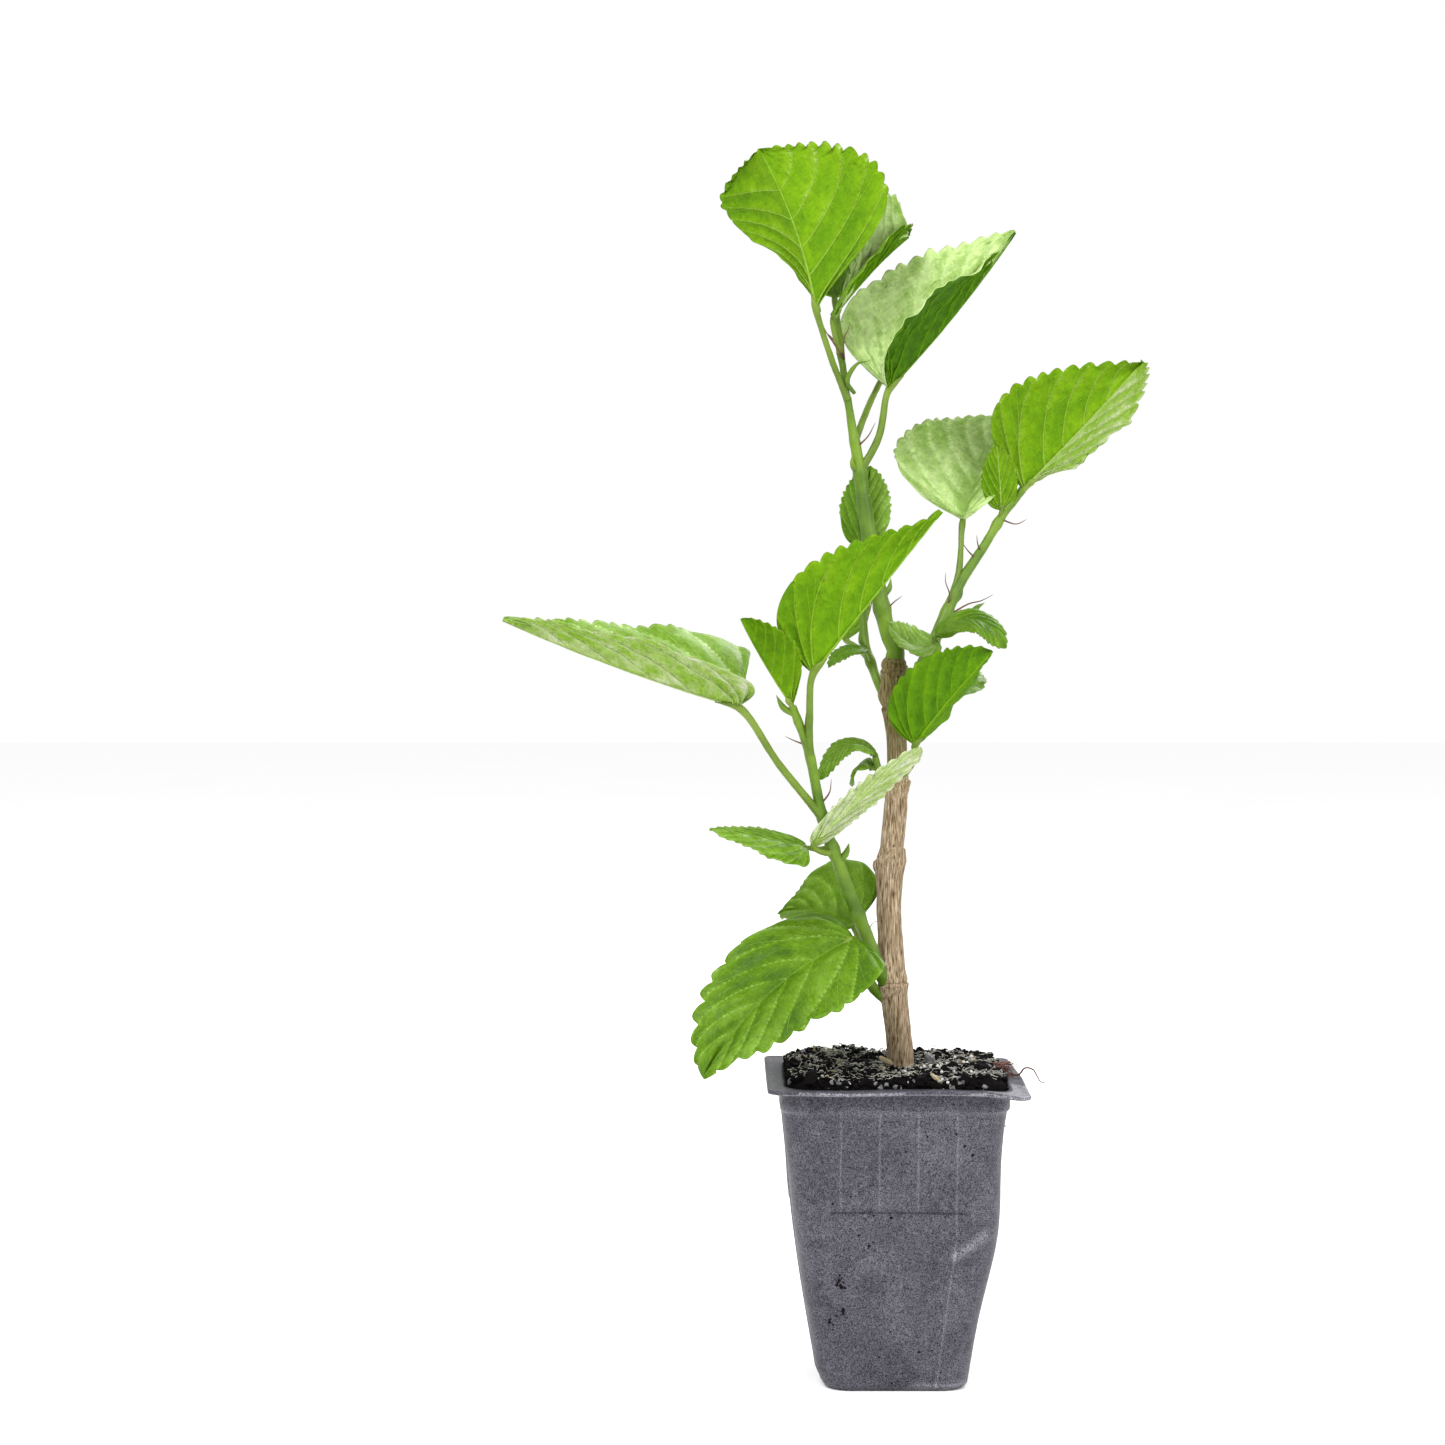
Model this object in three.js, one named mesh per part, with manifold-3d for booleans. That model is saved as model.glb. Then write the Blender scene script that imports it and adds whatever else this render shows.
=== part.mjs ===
// A young hibiscus shrub in a square nursery pot, in millimetres.
// +Z is up, the origin is the centre of the pot's flat underside, and the front is -Y.
// Every leaf is a closed blade about a curved midrib, folded along it, with a toothed edge.

import * as THREE from 'three'
import { mergeVertices } from 'three/addons/utils/BufferGeometryUtils.js'
import Module from 'manifold-3d'

const wasm = await Module()
wasm.setup()

// Sizes

const CLEAR = 0.3              // gap kept between neighbouring solids
const BLADE_THICKNESS = 0.9
const SMOOTH_EDGE = 0.3        // share of the leaf's edge, from its base, that has no teeth
const TOOTH_END = 0.98
const VEIN_SWEEP = 1.7         // how far the side veins lean towards the tip

const POT_HEIGHT = 104.8
const POT_WALL = 1.0
const POT_FLOOR = 1.2
const BASE_HALF = 24.5
const COLLAR_HALF = 38
const RIM_HALF = 44
const RIM_THICKNESS = 1.6
const COLLAR_HEIGHT = 7
const DRAIN_RADIUS = 3.5
const DRAIN_OFFSET = 14

const SOIL_TOP = 107           // level ground around the foot of the trunk
const SOIL_SHOULDER = 103.9    // where the soil block's steep side turns over into its top

// Materials

const skin = (color, roughness) => new THREE.MeshStandardMaterial({ color, roughness, metalness: 0 })
const PLASTIC = skin(0x4a4a52, 0.5)
const SOIL = skin(0x1f1813, 0.95)
const BARK = skin(0xa98d6e, 0.85)
const SHOOT = skin(0x6e9636, 0.6)
const LEAF = skin(0x5f9a2c, 0.5)

// Solids

const vec = ([x, y, z]) => new THREE.Vector3(x, y, z)

function meshFrom(points, triangles) {
  const geometry = new THREE.BufferGeometry()
  geometry.setAttribute('position', new THREE.Float32BufferAttribute(points.flatMap(p => p.toArray()), 3))
  geometry.setIndex(triangles.flat())
  return geometry
}

function solid(geometry) {
  const bare = new THREE.BufferGeometry()
  bare.setAttribute('position', geometry.getAttribute('position'))
  bare.setIndex(geometry.getIndex())
  const merged = mergeVertices(bare, 1e-4)
  const vertProperties = new Float32Array(merged.getAttribute('position').array)
  const triVerts = new Uint32Array(merged.getIndex().array)
  return new wasm.Manifold(new wasm.Mesh({ numProp: 3, vertProperties, triVerts }))
}

const join = (first, ...others) => others.reduce((sum, other) => sum.add(other), first)

function geometryOf(manifold) {
  const mesh = manifold.getMesh()
  const geometry = new THREE.BufferGeometry()
  geometry.setAttribute('position', new THREE.BufferAttribute(new Float32Array(mesh.vertProperties), 3))
  geometry.setIndex(new THREE.BufferAttribute(new Uint32Array(mesh.triVerts), 1))
  geometry.computeVertexNormals()
  return geometry
}

// Closed skin over rings of equal length, the first and last ring capped by a fan

function loft(rings) {
  const count = rings[0].length
  const points = rings.flat()
  const triangles = []
  for (let i = 0; i < rings.length - 1; i++) {
    for (let j = 0; j < count; j++) {
      const a = i * count + j
      const b = i * count + (j + 1) % count
      triangles.push([a, b, b + count], [a, b + count, a + count])
    }
  }
  const cap = (ring, offset, turned) => {
    const centre = ring.reduce((sum, p) => sum.add(p), new THREE.Vector3()).divideScalar(count)
    const hub = points.push(centre) - 1
    for (let j = 0; j < count; j++) {
      const a = offset + j
      const b = offset + (j + 1) % count
      triangles.push(turned ? [hub, a, b] : [hub, b, a])
    }
  }
  cap(rings[0], 0, false)
  cap(rings[rings.length - 1], (rings.length - 1) * count, true)
  return meshFrom(points, triangles)
}

// One limb: a round taper along a smooth path, its radius given by the share of the way along

function limb(path, radiusAt, sides = 10, steps = 14) {
  const curve = new THREE.CatmullRomCurve3(path.map(vec), false, 'centripetal')
  const { normals, binormals } = curve.computeFrenetFrames(steps)
  const rings = []
  for (let i = 0; i <= steps; i++) {
    const centre = curve.getPointAt(i / steps)
    const radius = radiusAt(i / steps, centre)
    const ring = []
    for (let j = 0; j < sides; j++) {
      const turn = 2 * Math.PI * j / sides
      ring.push(centre.clone()
        .addScaledVector(normals[i], radius * Math.cos(turn))
        .addScaledVector(binormals[i], radius * Math.sin(turn)))
    }
    rings.push(ring)
  }
  return solid(loft(rings))
}

const taper = (from, to) => share => from + (to - from) * share

// The path of a stem that goes on from a limb's tip, just clear of it

function goOn(path, rest) {
  const curve = new THREE.CatmullRomCurve3(path.map(vec), false, 'centripetal')
  const tip = curve.getPointAt(1)
  const ahead = curve.getTangentAt(1)
  const at = reach => tip.clone().addScaledVector(ahead, reach).toArray()
  return [at(CLEAR), at(CLEAR + 2), ...rest]
}

// Leaves

// Half a blade: its width, where it is widest, how sharply it narrows to base and tip, and how far it folds up.
const half = (width, widest, toBase, toTip, fold) => ({ width, widest, toBase, toTip, fold: fold * Math.PI / 180 })

function widthShare(t, { widest, toBase, toTip }) {
  const rise = Math.pow(t / widest, widest)
  const fall = Math.pow((1 - t) / (1 - widest), 1 - widest)
  return Math.pow(rise * fall, t < widest ? toBase : toTip)
}

// Shares along the edge: a few on the smooth part, then each tooth's notch and point
function edgeShares(teeth, smoothEdge) {
  const shares = [0, 0.07, 0.23, 0.5, 0.75].map(share => share * smoothEdge)
  const pitch = (TOOTH_END - smoothEdge) / teeth
  for (let i = 0; i < teeth; i++) {
    const notch = smoothEdge + i * pitch
    shares.push(notch, notch + 0.75 * pitch)
  }
  return [...shares, 0.985, 1]
}

function toothHeight(t, teeth, smoothEdge) {
  const phase = (t - smoothEdge) / (TOOTH_END - smoothEdge) * teeth
  if (phase < 0 || phase > teeth) return 0
  const part = phase - Math.floor(phase + 1e-6)
  return (part < 0.75 ? part / 0.75 : (1 - part) / 0.25) - 0.5
}

// The midrib runs through three points, up is the side that faces the sky on a level leaf, and lobe is how far
// the base reaches back along the midrib, for both halves or for each.
function blade({ rib, up, left, right, lobe = 0.03, teeth = 7, tooth = 0.09, smoothEdge = SMOOTH_EDGE }) {
  const [base, mid, tip] = rib.map(vec)
  const control = mid.clone().multiplyScalar(2).addScaledVector(base, -0.5).addScaledVector(tip, -0.5)
  const midrib = new THREE.QuadraticBezierCurve3(base, control, tip)
  const length = midrib.getLength()
  const sky = vec(up)

  const place = (along, out, side, part) => {
    const share = Math.min(Math.max(along / length, 0), 1)
    const ahead = midrib.getTangent(share)
    const centre = midrib.getPoint(share).addScaledVector(ahead, Math.min(along, 0))
    const normal = sky.clone().addScaledVector(ahead, -sky.dot(ahead)).normalize()
    const across = new THREE.Vector3().crossVectors(ahead, normal)
    const point = centre
      .addScaledVector(across, side * out * Math.cos(part.fold))
      .addScaledVector(normal, out * Math.sin(part.fold))
    const lift = out > 0
      ? normal.clone().multiplyScalar(Math.cos(part.fold)).addScaledVector(across, -side * Math.sin(part.fold))
      : normal.clone().multiplyScalar(Math.min(1.6, 1 / Math.cos((left.fold + right.fold) / 2)))
    return { point, lift }
  }

  const shares = edgeShares(teeth, smoothEdge)
  const last = shares.length - 1
  const spots = shares.map(t => place(length * Math.pow(t, VEIN_SWEEP), 0, 1, right))
  const lobes = [lobe].flat()
  const edges = [[-1, left, lobes[0]], [1, right, lobes[lobes.length - 1]]].map(([side, part, heart]) => {
    const ids = shares.map((t, i) => {
      if (i === 0 || i === last) return i
      const back = heart * (t / 0.12) * Math.exp(1 - t / 0.12)
      const along = length * (t - back)
      const out = part.width * widthShare(t, part)
      const fromRib = along - length * Math.pow(t, VEIN_SWEEP)
      const growth = 1 + toothHeight(t, teeth, smoothEdge) * tooth * part.width / Math.hypot(fromRib, out)
      const reach = along + fromRib * (growth - 1)
      return spots.push(place(reach, out * growth, side, part)) - 1
    })
    return ids
  })

  const count = spots.length
  const points = [1, -1].flatMap(face =>
    spots.map(({ point, lift }) => point.clone().addScaledVector(lift, face * BLADE_THICKNESS / 2)))
  const triangles = []
  const add = (a, b, c) => {
    if (a !== b && b !== c && c !== a) triangles.push([a, b, c])
  }
  edges.forEach((edge, side) => {
    for (let i = 0; i < last; i++) {
      const ribNear = i
      const ribFar = i + 1
      const [near, far] = [edge[i], edge[i + 1]]
      const turned = side === 0
      const put = (a, b, c) => {
        if (turned) add(a, c, b)
        else add(a, b, c)
      }
      put(ribNear, near, far)
      put(ribNear, far, ribFar)
      put(near + count, ribNear + count, far + count)
      put(far + count, ribNear + count, ribFar + count)
      put(near, near + count, far + count)
      put(near, far + count, far)
    }
  })
  return solid(meshFrom(points, triangles))
}

// A petiole from its stem to the leaf, sunk into the blade at its base
function leaf(petiole, shape, radius = 1.2, steps = 8) {
  const [base, mid] = shape.rib
  const along = base.map((v, i) => v + (mid[i] - v) * 0.24)
  const path = [...petiole, base, along]
  const stem = limb(path, taper(radius, 0.75 * radius), 6, steps)
  return join(blade(shape), stem)
}

// Pot

// A level square with round corners, each side cut into perSide stretches
function squareRing(halfWidth, corner, z, perSide = 1) {
  const ring = []
  const perCorner = 4
  for (let quarter = 0; quarter < 4; quarter++) {
    const turn = quarter * Math.PI / 2
    const spin = (x, y) => new THREE.Vector3(x, y, z).applyAxisAngle(new THREE.Vector3(0, 0, 1), turn)
    const flat = halfWidth - corner
    for (let i = 0; i <= perCorner; i++) {
      const angle = i / perCorner * Math.PI / 2
      ring.push(spin(flat + corner * Math.cos(angle), flat + corner * Math.sin(angle)))
    }
    for (let i = 1; i < perSide; i++) {
      ring.push(spin(flat - 2 * flat * i / perSide, halfWidth))
    }
  }
  return ring
}

const collarFoot = POT_HEIGHT - RIM_THICKNESS - COLLAR_HEIGHT
const bodyHalfAt = z => BASE_HALF + (COLLAR_HALF - 0.8 - BASE_HALF) * z / collarFoot

function pot() {
  const outer = solid(loft([
    squareRing(BASE_HALF - 1.2, 8, 0),
    squareRing(BASE_HALF, 9, 1.5),
    squareRing(bodyHalfAt(collarFoot), 10, collarFoot),
    squareRing(COLLAR_HALF, 10.5, collarFoot + 0.6),
    squareRing(COLLAR_HALF, 10.5, POT_HEIGHT - RIM_THICKNESS),
    squareRing(RIM_HALF, 5, POT_HEIGHT - RIM_THICKNESS),
    squareRing(RIM_HALF, 5, POT_HEIGHT),
  ]))
  const inner = solid(loft([
    squareRing(bodyHalfAt(POT_FLOOR) - POT_WALL, 8, POT_FLOOR),
    squareRing(bodyHalfAt(collarFoot) - POT_WALL, 9, collarFoot),
    squareRing(COLLAR_HALF - POT_WALL, 9.5, collarFoot + 1),
    squareRing(COLLAR_HALF - POT_WALL, 9.5, POT_HEIGHT + 1),
  ]))
  const holes = [[1, 1], [-1, 1], [-1, -1], [1, -1]].map(([x, y]) => {
    const hole = new THREE.CylinderGeometry(DRAIN_RADIUS, DRAIN_RADIUS, 6, 16)
    hole.rotateX(Math.PI / 2)
    hole.translate(x * DRAIN_OFFSET, y * DRAIN_OFFSET, 0)
    return solid(hole)
  })
  return holes.reduce((sum, hole) => sum.subtract(hole), outer.subtract(inner))
}

// Soil: it fills the pot and stands above the rim in an uneven block, level around the trunk

function soilHeight(x, y, share) {
  const waves = Math.sin(x * 0.21 + 1.3) * Math.cos(y * 0.17 - 0.6) + 0.6 * Math.sin(x * 0.37 - y * 0.29 + 2.1)
  const level = SOIL_TOP + 0.8 * Math.min(1, share * 1.4)
  const rise = 1.5 * waves + 2.2 * Math.exp(-((x + 16) ** 2 + (y - 25) ** 2) / 160)
  const away = Math.min(1, Math.max(0, (Math.hypot(x - 2.6, y) - 10) / 8))
  return level + rise * away * (1 - 0.45 * share)
}

function soil() {
  const gap = POT_WALL + CLEAR
  const top = squareRing(COLLAR_HALF - gap, 9.2, 0, 4)
  const surface = (share, drop = 0) => top.map(p => {
    const spot = p.clone().multiplyScalar(share)
    spot.z = soilHeight(spot.x, spot.y, share) - drop
    return spot
  })
  return solid(loft([
    squareRing(bodyHalfAt(POT_FLOOR + CLEAR) - gap, 7.7, POT_FLOOR + CLEAR, 4),
    squareRing(bodyHalfAt(collarFoot) - gap, 8.7, collarFoot + CLEAR, 4),
    squareRing(COLLAR_HALF - gap, 9.2, collarFoot + 1 + CLEAR, 4),
    squareRing(COLLAR_HALF - gap, 9.2, SOIL_SHOULDER, 4),
    surface(0.98, 1.2), surface(0.93), surface(0.82), surface(0.68), surface(0.54), surface(0.4),
    surface(0.26), surface(0.12),
  ]))
}

// Trunk: leaning a little, with its nodes and a low root flare

const TRUNK_FOOT = SOIL_TOP + CLEAR
const TRUNK_PATH = [
  [2.6, 0, TRUNK_FOOT], [2.6, 0, 112], [0.1, 0, 137], [-1.3, 0, 163], [-0.6, 0, 179],
  [1.1, 0, 200], [1.4, 0, 219], [-0.4, 0, 236], [0.7, 0, 249],
]
// Radius of the trunk at its heights: flare, lower node, ringed node, spur node, top collar
const TRUNK_RADII = [
  [107, 4.9], [109, 4.6], [112, 4.4], [132, 4.3], [137, 5.1], [141, 4.5], [160, 4.2], [174, 4.4],
  [179, 4.9], [183, 4.0], [200, 3.8], [204, 4.1], [208, 3.6], [228, 3.3], [235, 3.8], [241, 3.7],
  [246, 4.4], [250, 4.2],
]

function radiusAtHeight(z, table) {
  const next = Math.max(1, table.findIndex(([height]) => height > z))
  const [[z0, r0], [z1, r1]] = [table[next - 1], table[next]]
  return THREE.MathUtils.lerp(r0, r1, THREE.MathUtils.clamp((z - z0) / (z1 - z0), 0, 1))
}

const trunkOf = extra => limb(TRUNK_PATH, (share, { z }) => radiusAtHeight(z, TRUNK_RADII) + extra, 14, 46)
const trunk = trunkOf(0)
const trunkRoom = trunkOf(CLEAR)

// Boughs

const LEADER_PATH = goOn(TRUNK_PATH, [[-1.2, 1, 256], [-3.7, 2, 266], [-6.4, 4, 281], [-8.4, 6, 293],
  [-10, 7.6, 305]])
const LEFT_PATH = [[0, 0, 134], [-4.6, -4, 140.5], [-9.1, -10, 152], [-12.7, -14, 161], [-17.3, -18, 172.6],
  [-19.3, -19.9, 178]]
const RIGHT_PATH = [[0, 0, 228], [3.7, 4, 234], [13.6, 12, 251.7], [18.4, 15.4, 262]]

const boughLeader = limb(LEADER_PATH, share => 2.8 + 0.7 * Math.max(0, 1 - share * 8), 10, 14)
const boughLeft = limb(LEFT_PATH, taper(2.7, 2.1), 10, 14).subtract(trunkRoom)
const boughRight = limb(RIGHT_PATH, taper(2.6, 2.1), 10, 12).subtract(trunkRoom)

// Foliage masses: each one's stem, and its leaves with their petioles

const topStem = goOn(LEADER_PATH, [[-11.2, 8.5, 314], [-14.5, 10, 334], [-17.7, 10, 353], [-20.5, 9, 367.5]])
const foliageTop = join(
  limb(topStem, share => 2.6 - 1.6 * Math.min(1, share * 1.6), 10, 16),
  leaf([[-15.3, 10, 339], [-21, 5, 352]], {
    rib: [[-26.5, 0, 368], [-34, 3, 398], [-46.5, 8, 426]], up: [0.25, 1, -0.15],
    left: half(35.5, 0.58, 3, 2.2, 14), right: half(30, 0.84, 2, 0.9, 42), lobe: 0, teeth: 6, smoothEdge: 0.5,
  }),
  leaf([[-18, 10, 355]], {
    rib: [[-20.5, 9, 367.5], [-6, 16, 385], [6.9, 24, 397.5]], up: [-0.11, -0.78, 0.62],
    left: half(19, 0.8, 1.6, 0.35, 69), right: half(17, 0.55, 1.4, 1, 67), lobe: 0,
  }, 1.1),
  leaf([[-11.4, 8.6, 313], [-4.5, 10, 326]], {
    rib: [[-1, 12, 343], [22.5, 17, 369.5], [44.5, 22, 399]], up: [-0.71, -0.41, 0.575],
    left: half(33.5, 0.28, 1.6, 1.2, 45), right: half(29, 0.3, 1.3, 3.2, 45), teeth: 8,
  }, 1.4),
  leaf([[-13, 9.4, 324], [-6, 24, 341]], {
    rib: [[4.5, 38, 361], [12.5, 52, 377], [20, 62, 391]], up: [-0.1, -0.7, 0.7],
    left: half(15, 0.4, 1.4, 1.4, 20), right: half(15, 0.4, 1.4, 1.4, 20), teeth: 5,
  }),
  leaf([[-16.4, 10.1, 346], [-17.5, 19, 358]], {
    rib: [[-19, 31, 377], [-22.5, 45, 392], [-25, 58, 405]], up: [0.1, -0.7, 0.7],
    left: half(13, 0.4, 1.4, 1.4, 16), right: half(13, 0.4, 1.4, 1.4, 16), teeth: 5,
  }),
)

const rightStem = goOn(RIGHT_PATH, [[25.6, 21, 276.5], [34, 26, 289], [40.8, 29, 300], [48, 30, 309]])
const foliageRight = join(
  limb(rightStem, taper(2.1, 1.3), 10, 16),
  leaf([[19.5, 16.4, 265], [24.4, 22, 279]], {
    rib: [[26.5, 30, 298], [33, 40, 316], [43.5, 52, 336]], up: [-0.2, -1, 0.45],
    left: half(31, 0.45, 2.0, 1.7, 15), right: half(13, 0.4, 2.0, 1.6, 25), lobe: 0,
  }),
  leaf([[44, 29.5, 304]], {
    rib: [[48, 30, 309], [67, 26, 329], [89, 18, 353]], up: [-0.44, 0.8, 0.41],
    left: half(30, 0.6, 2.3, 1.3, 30), right: half(28.2, 0.35, 1.5, 1.5, 37), lobe: 0, teeth: 8,
  }),
  leaf([[39, 28.4, 297], [39.5, 28, 299]], {
    rib: [[40, 28, 301.5], [39, 24, 313.5], [37.5, 20, 324.5]], up: [0, 0.9, 0.3],
    left: half(6.5, 0.4, 1.4, 1.4, 12), right: half(6.5, 0.4, 1.4, 1.4, 12), teeth: 5,
  }, 0.9, 5),
  leaf([[38.6, 28.2, 296.5], [48, 42, 309]], {
    rib: [[59, 54, 323], [67.5, 68, 335], [75.5, 82, 348.5]], up: [0, -0.7, 0.7],
    left: half(16, 0.4, 1.4, 1.4, 18), right: half(16, 0.4, 1.4, 1.4, 18), teeth: 5,
  }),
)

const leftStem = goOn(LEFT_PATH, [[-21.6, -22, 183.7], [-25.4, -25, 195.7], [-30.2, -28, 217.8], [-35.5, -30, 232.5]])
const foliageLeft = join(
  limb(leftStem, taper(2.1, 1.3), 10, 16),
  leaf([[-21.6, -22, 183.7], [-24.2, -25.5, 183]], {
    rib: [[-28.6, -29, 185.5], [-13.2, -31, 201.2], [7.8, -28, 218.8]], up: [-0.04, 1, 0.04],
    left: half(5.8, 0.6, 0.9, 0.8, 30), right: half(4.6, 0.4, 0.9, 1, 30), teeth: 6,
  }, 1.1),
  leaf([[-21.8, -22.2, 184.5], [-27, -22.5, 184]], {
    rib: [[-30.8, -25, 185], [-46.4, -32, 188.6], [-63.5, -40, 191.5]], up: [0, -0.6, 0.9],
    left: half(12, 0.26, 1.2, 1.5, -5), right: half(4.5, 0.4, 1.4, 1.4, 10), teeth: 6,
  }, 1.0),
  leaf([[-25.3, -24.9, 195], [-40, -31.5, 213]], {
    rib: [[-53.5, -38, 232.5], [-92, -44, 245], [-131.5, -50, 261]], up: [0.34, 0, 0.94],
    left: half(26, 0.36, 1.7, 1.3, 26), right: half(31, 0.18, 1.0, 1.2, 40), lobe: 0.1, teeth: 9,
  }, 1.4),
  leaf([[-29.6, -27.7, 215], [-29.8, -31.5, 228]], {
    rib: [[-29, -36, 243.5], [-8, -41, 270], [13.5, -45, 297]], up: [-0.55, 0.7, 0.44],
    left: half(24, 0.35, 1.4, 1.4, 45), right: half(24.5, 0.3, 1.5, 1.9, 45), lobe: 0.02, teeth: 8,
  }, 1.3),
  leaf([[-33.5, -29.3, 227]], {
    rib: [[-35.5, -30, 232.5], [-45, -35, 247], [-53, -40, 261.5]], up: [0.5, 0.8, 0.1],
    left: half(13, 0.5, 2.8, 1.3, 10), right: half(10, 0.5, 2.2, 1.3, 60), teeth: 6,
  }, 1.0),
)

const lowStem = [[-1, 0, 129], [-6, -2.5, 133.5], [-10.5, -8.5, 142.5], [-14.5, -15, 152]]
const foliageLow = join(
  limb(lowStem, taper(1.6, 1.3), 8, 12),
  leaf([[-12.6, -11.8, 147.5]], {
    rib: [[-14.5, -15, 153], [-44, -29, 135], [-65, -42, 108.5]], up: [-0.3, -0.8, 0.6],
    left: half(26, 0.33, 1.3, 1.4, 10), right: half(20.5, 0.42, 1.6, 1.3, 12), lobe: [0.1, 0.05], teeth: 9,
  }, 1.3),
  leaf([[-7.2, -4, 136], [-11, -2, 145]], {
    rib: [[-13.5, -3, 156], [-27, 4, 161], [-39, 12, 159]], up: [0.3, -0.9, 0.6],
    left: half(12, 0.4, 1.4, 1.4, 30), right: half(23.5, 0.37, 1.1, 2.7, 10), lobe: 0.05, teeth: 3, smoothEdge: 0.7,
  }),
  leaf([[-6.8, -3.4, 135], [-8.5, 4, 139.5], [-12, 16, 142]], {
    rib: [[-18, 30, 137], [-31, 50, 134], [-44.5, 70, 122.5]], up: [-0.2, -0.4, 1],
    left: half(20, 0.4, 1.4, 1.4, 14), right: half(20, 0.4, 1.4, 1.4, 14), teeth: 7,
  }),
).subtract(trunkRoom)

const foliageSpur = join(
  limb([[0, 0, 232], [-3.4, 2, 237], [-6.6, 6.4, 245], [-8.9, 10, 253.5], [-9.8, 13, 265.7], [-10, 16, 287.5]],
    taper(1.8, 0.9), 8, 14),
  leaf([[-9.9, 15.2, 281]], {
    rib: [[-10, 16, 287.5], [-8.5, 21, 303], [-6.5, 26, 317]], up: [0, -1, 0.2],
    left: half(9.5, 0.4, 1.3, 1.3, 20), right: half(9.5, 0.4, 1.3, 1.3, 20), teeth: 6,
  }, 0.9),
  leaf([[-7.2, 7.2, 247]], {
    rib: [[-9, 3, 251.5], [-16.5, 0, 251], [-22.5, -4, 245.5]], up: [0, -0.5, 1],
    left: half(4, 0.4, 1.3, 1.3, 0), right: half(4, 0.4, 1.3, 1.3, 0), teeth: 4,
  }, 0.8, 5),
  leaf([[-7.6, 7.8, 248.5], [-11, 15, 252]], {
    rib: [[-15, 26, 255.5], [-20.5, 42, 268], [-24, 58, 281.5]], up: [0, -0.7, 0.7],
    left: half(14, 0.4, 1.4, 1.4, 18), right: half(14, 0.4, 1.4, 1.4, 18), teeth: 5,
  }),
).subtract(trunkRoom)

const foliageSide = join(
  limb([[0, 0, 204], [-4.6, -3, 209], [-6.5, -6, 215]], taper(1.2, 1.0), 8, 6),
  leaf([[-6, -5, 213.5]], {
    rib: [[-6.5, -6, 216], [-17, -8, 218.5], [-25.5, -10, 207]], up: [-0.1, -0.6, 1],
    left: half(5, 0.5, 1.2, 1.2, 0), right: half(4.5, 0.5, 1.2, 1.2, 0), teeth: 4,
  }, 0.9, 5),
  leaf([[-5.2, -3.6, 210.5]], {
    rib: [[-7.5, -4, 211], [-11, -1, 212], [-14.5, 4, 205]], up: [0, -0.6, 1],
    left: half(8, 0.5, 1.2, 1.2, 0), right: half(4, 0.5, 1.2, 1.2, 0), teeth: 3,
  }, 0.8, 5),
).subtract(trunkRoom)

const foliageFront = leaf([[1, 0, 206], [5.5, -5, 211], [7, -11, 216]], {
  rib: [[6.5, -14, 219], [17.5, -18, 234], [32.5, -22, 251]], up: [-0.45, 0.75, 0.4],
  left: half(18, 0.4, 1.3, 1.3, 36), right: half(17.5, 0.42, 1.15, 1.15, 36), teeth: 6,
}).subtract(trunkRoom)

const foliageFork = join(
  limb([[1, 0, 221], [7, 0.5, 226], [10.5, -4, 240], [15, -6, 254.5]], taper(1.4, 1.0), 8, 10),
  leaf([[13.4, -5.2, 250]], {
    rib: [[15, -6, 254.5], [6, -8, 253.5], [-2.5, -10, 261]], up: [0.1, -0.6, 0.8],
    left: half(8, 0.4, 1.2, 1.2, 10), right: half(9, 0.45, 1.2, 1.2, 10), teeth: 4,
  }, 0.9, 5),
  leaf([[13.4, -5.2, 250]], {
    rib: [[14.5, -6, 256.5], [27.5, -8, 262], [38, -9, 252]], up: [0.1, -0.6, 1],
    left: half(7, 0.5, 1.2, 1.2, 0), right: half(9, 0.5, 1.2, 1.2, 0), teeth: 5,
  }, 0.9, 5),
  leaf([[7, 0.2, 226.5], [12, 14, 231]], {
    rib: [[17, 30, 235], [24, 44, 241], [31, 60, 245.5]], up: [0.2, -0.5, 1],
    left: half(13, 0.4, 1.4, 1.4, 14), right: half(13, 0.4, 1.4, 1.4, 14), teeth: 5,
  }),
).subtract(trunkRoom)

// Scene

const shrub = new THREE.Group()
const add = (name, manifold, material) => {
  const mesh = new THREE.Mesh(geometryOf(manifold), material)
  mesh.name = name
  shrub.add(mesh)
}
add('pot', pot(), PLASTIC)
add('soil', soil(), SOIL)
add('trunk', trunk, BARK)
add('bough_leader', boughLeader, SHOOT)
add('bough_left', boughLeft, SHOOT)
add('bough_right', boughRight, SHOOT)
add('foliage_top', foliageTop, LEAF)
add('foliage_right', foliageRight, LEAF)
add('foliage_left', foliageLeft, LEAF)
add('foliage_low', foliageLow, LEAF)
add('foliage_spur', foliageSpur, LEAF)
add('foliage_side', foliageSide, LEAF)
add('foliage_front', foliageFront, LEAF)
add('foliage_fork', foliageFork, LEAF)

export default shrub
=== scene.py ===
"""Looks of a young hibiscus shrub in a square nursery pot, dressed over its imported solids.

Sizes are in millimetres and become metres when a mesh is made. +Z is up, -Y is the front.
"""

import math

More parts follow.
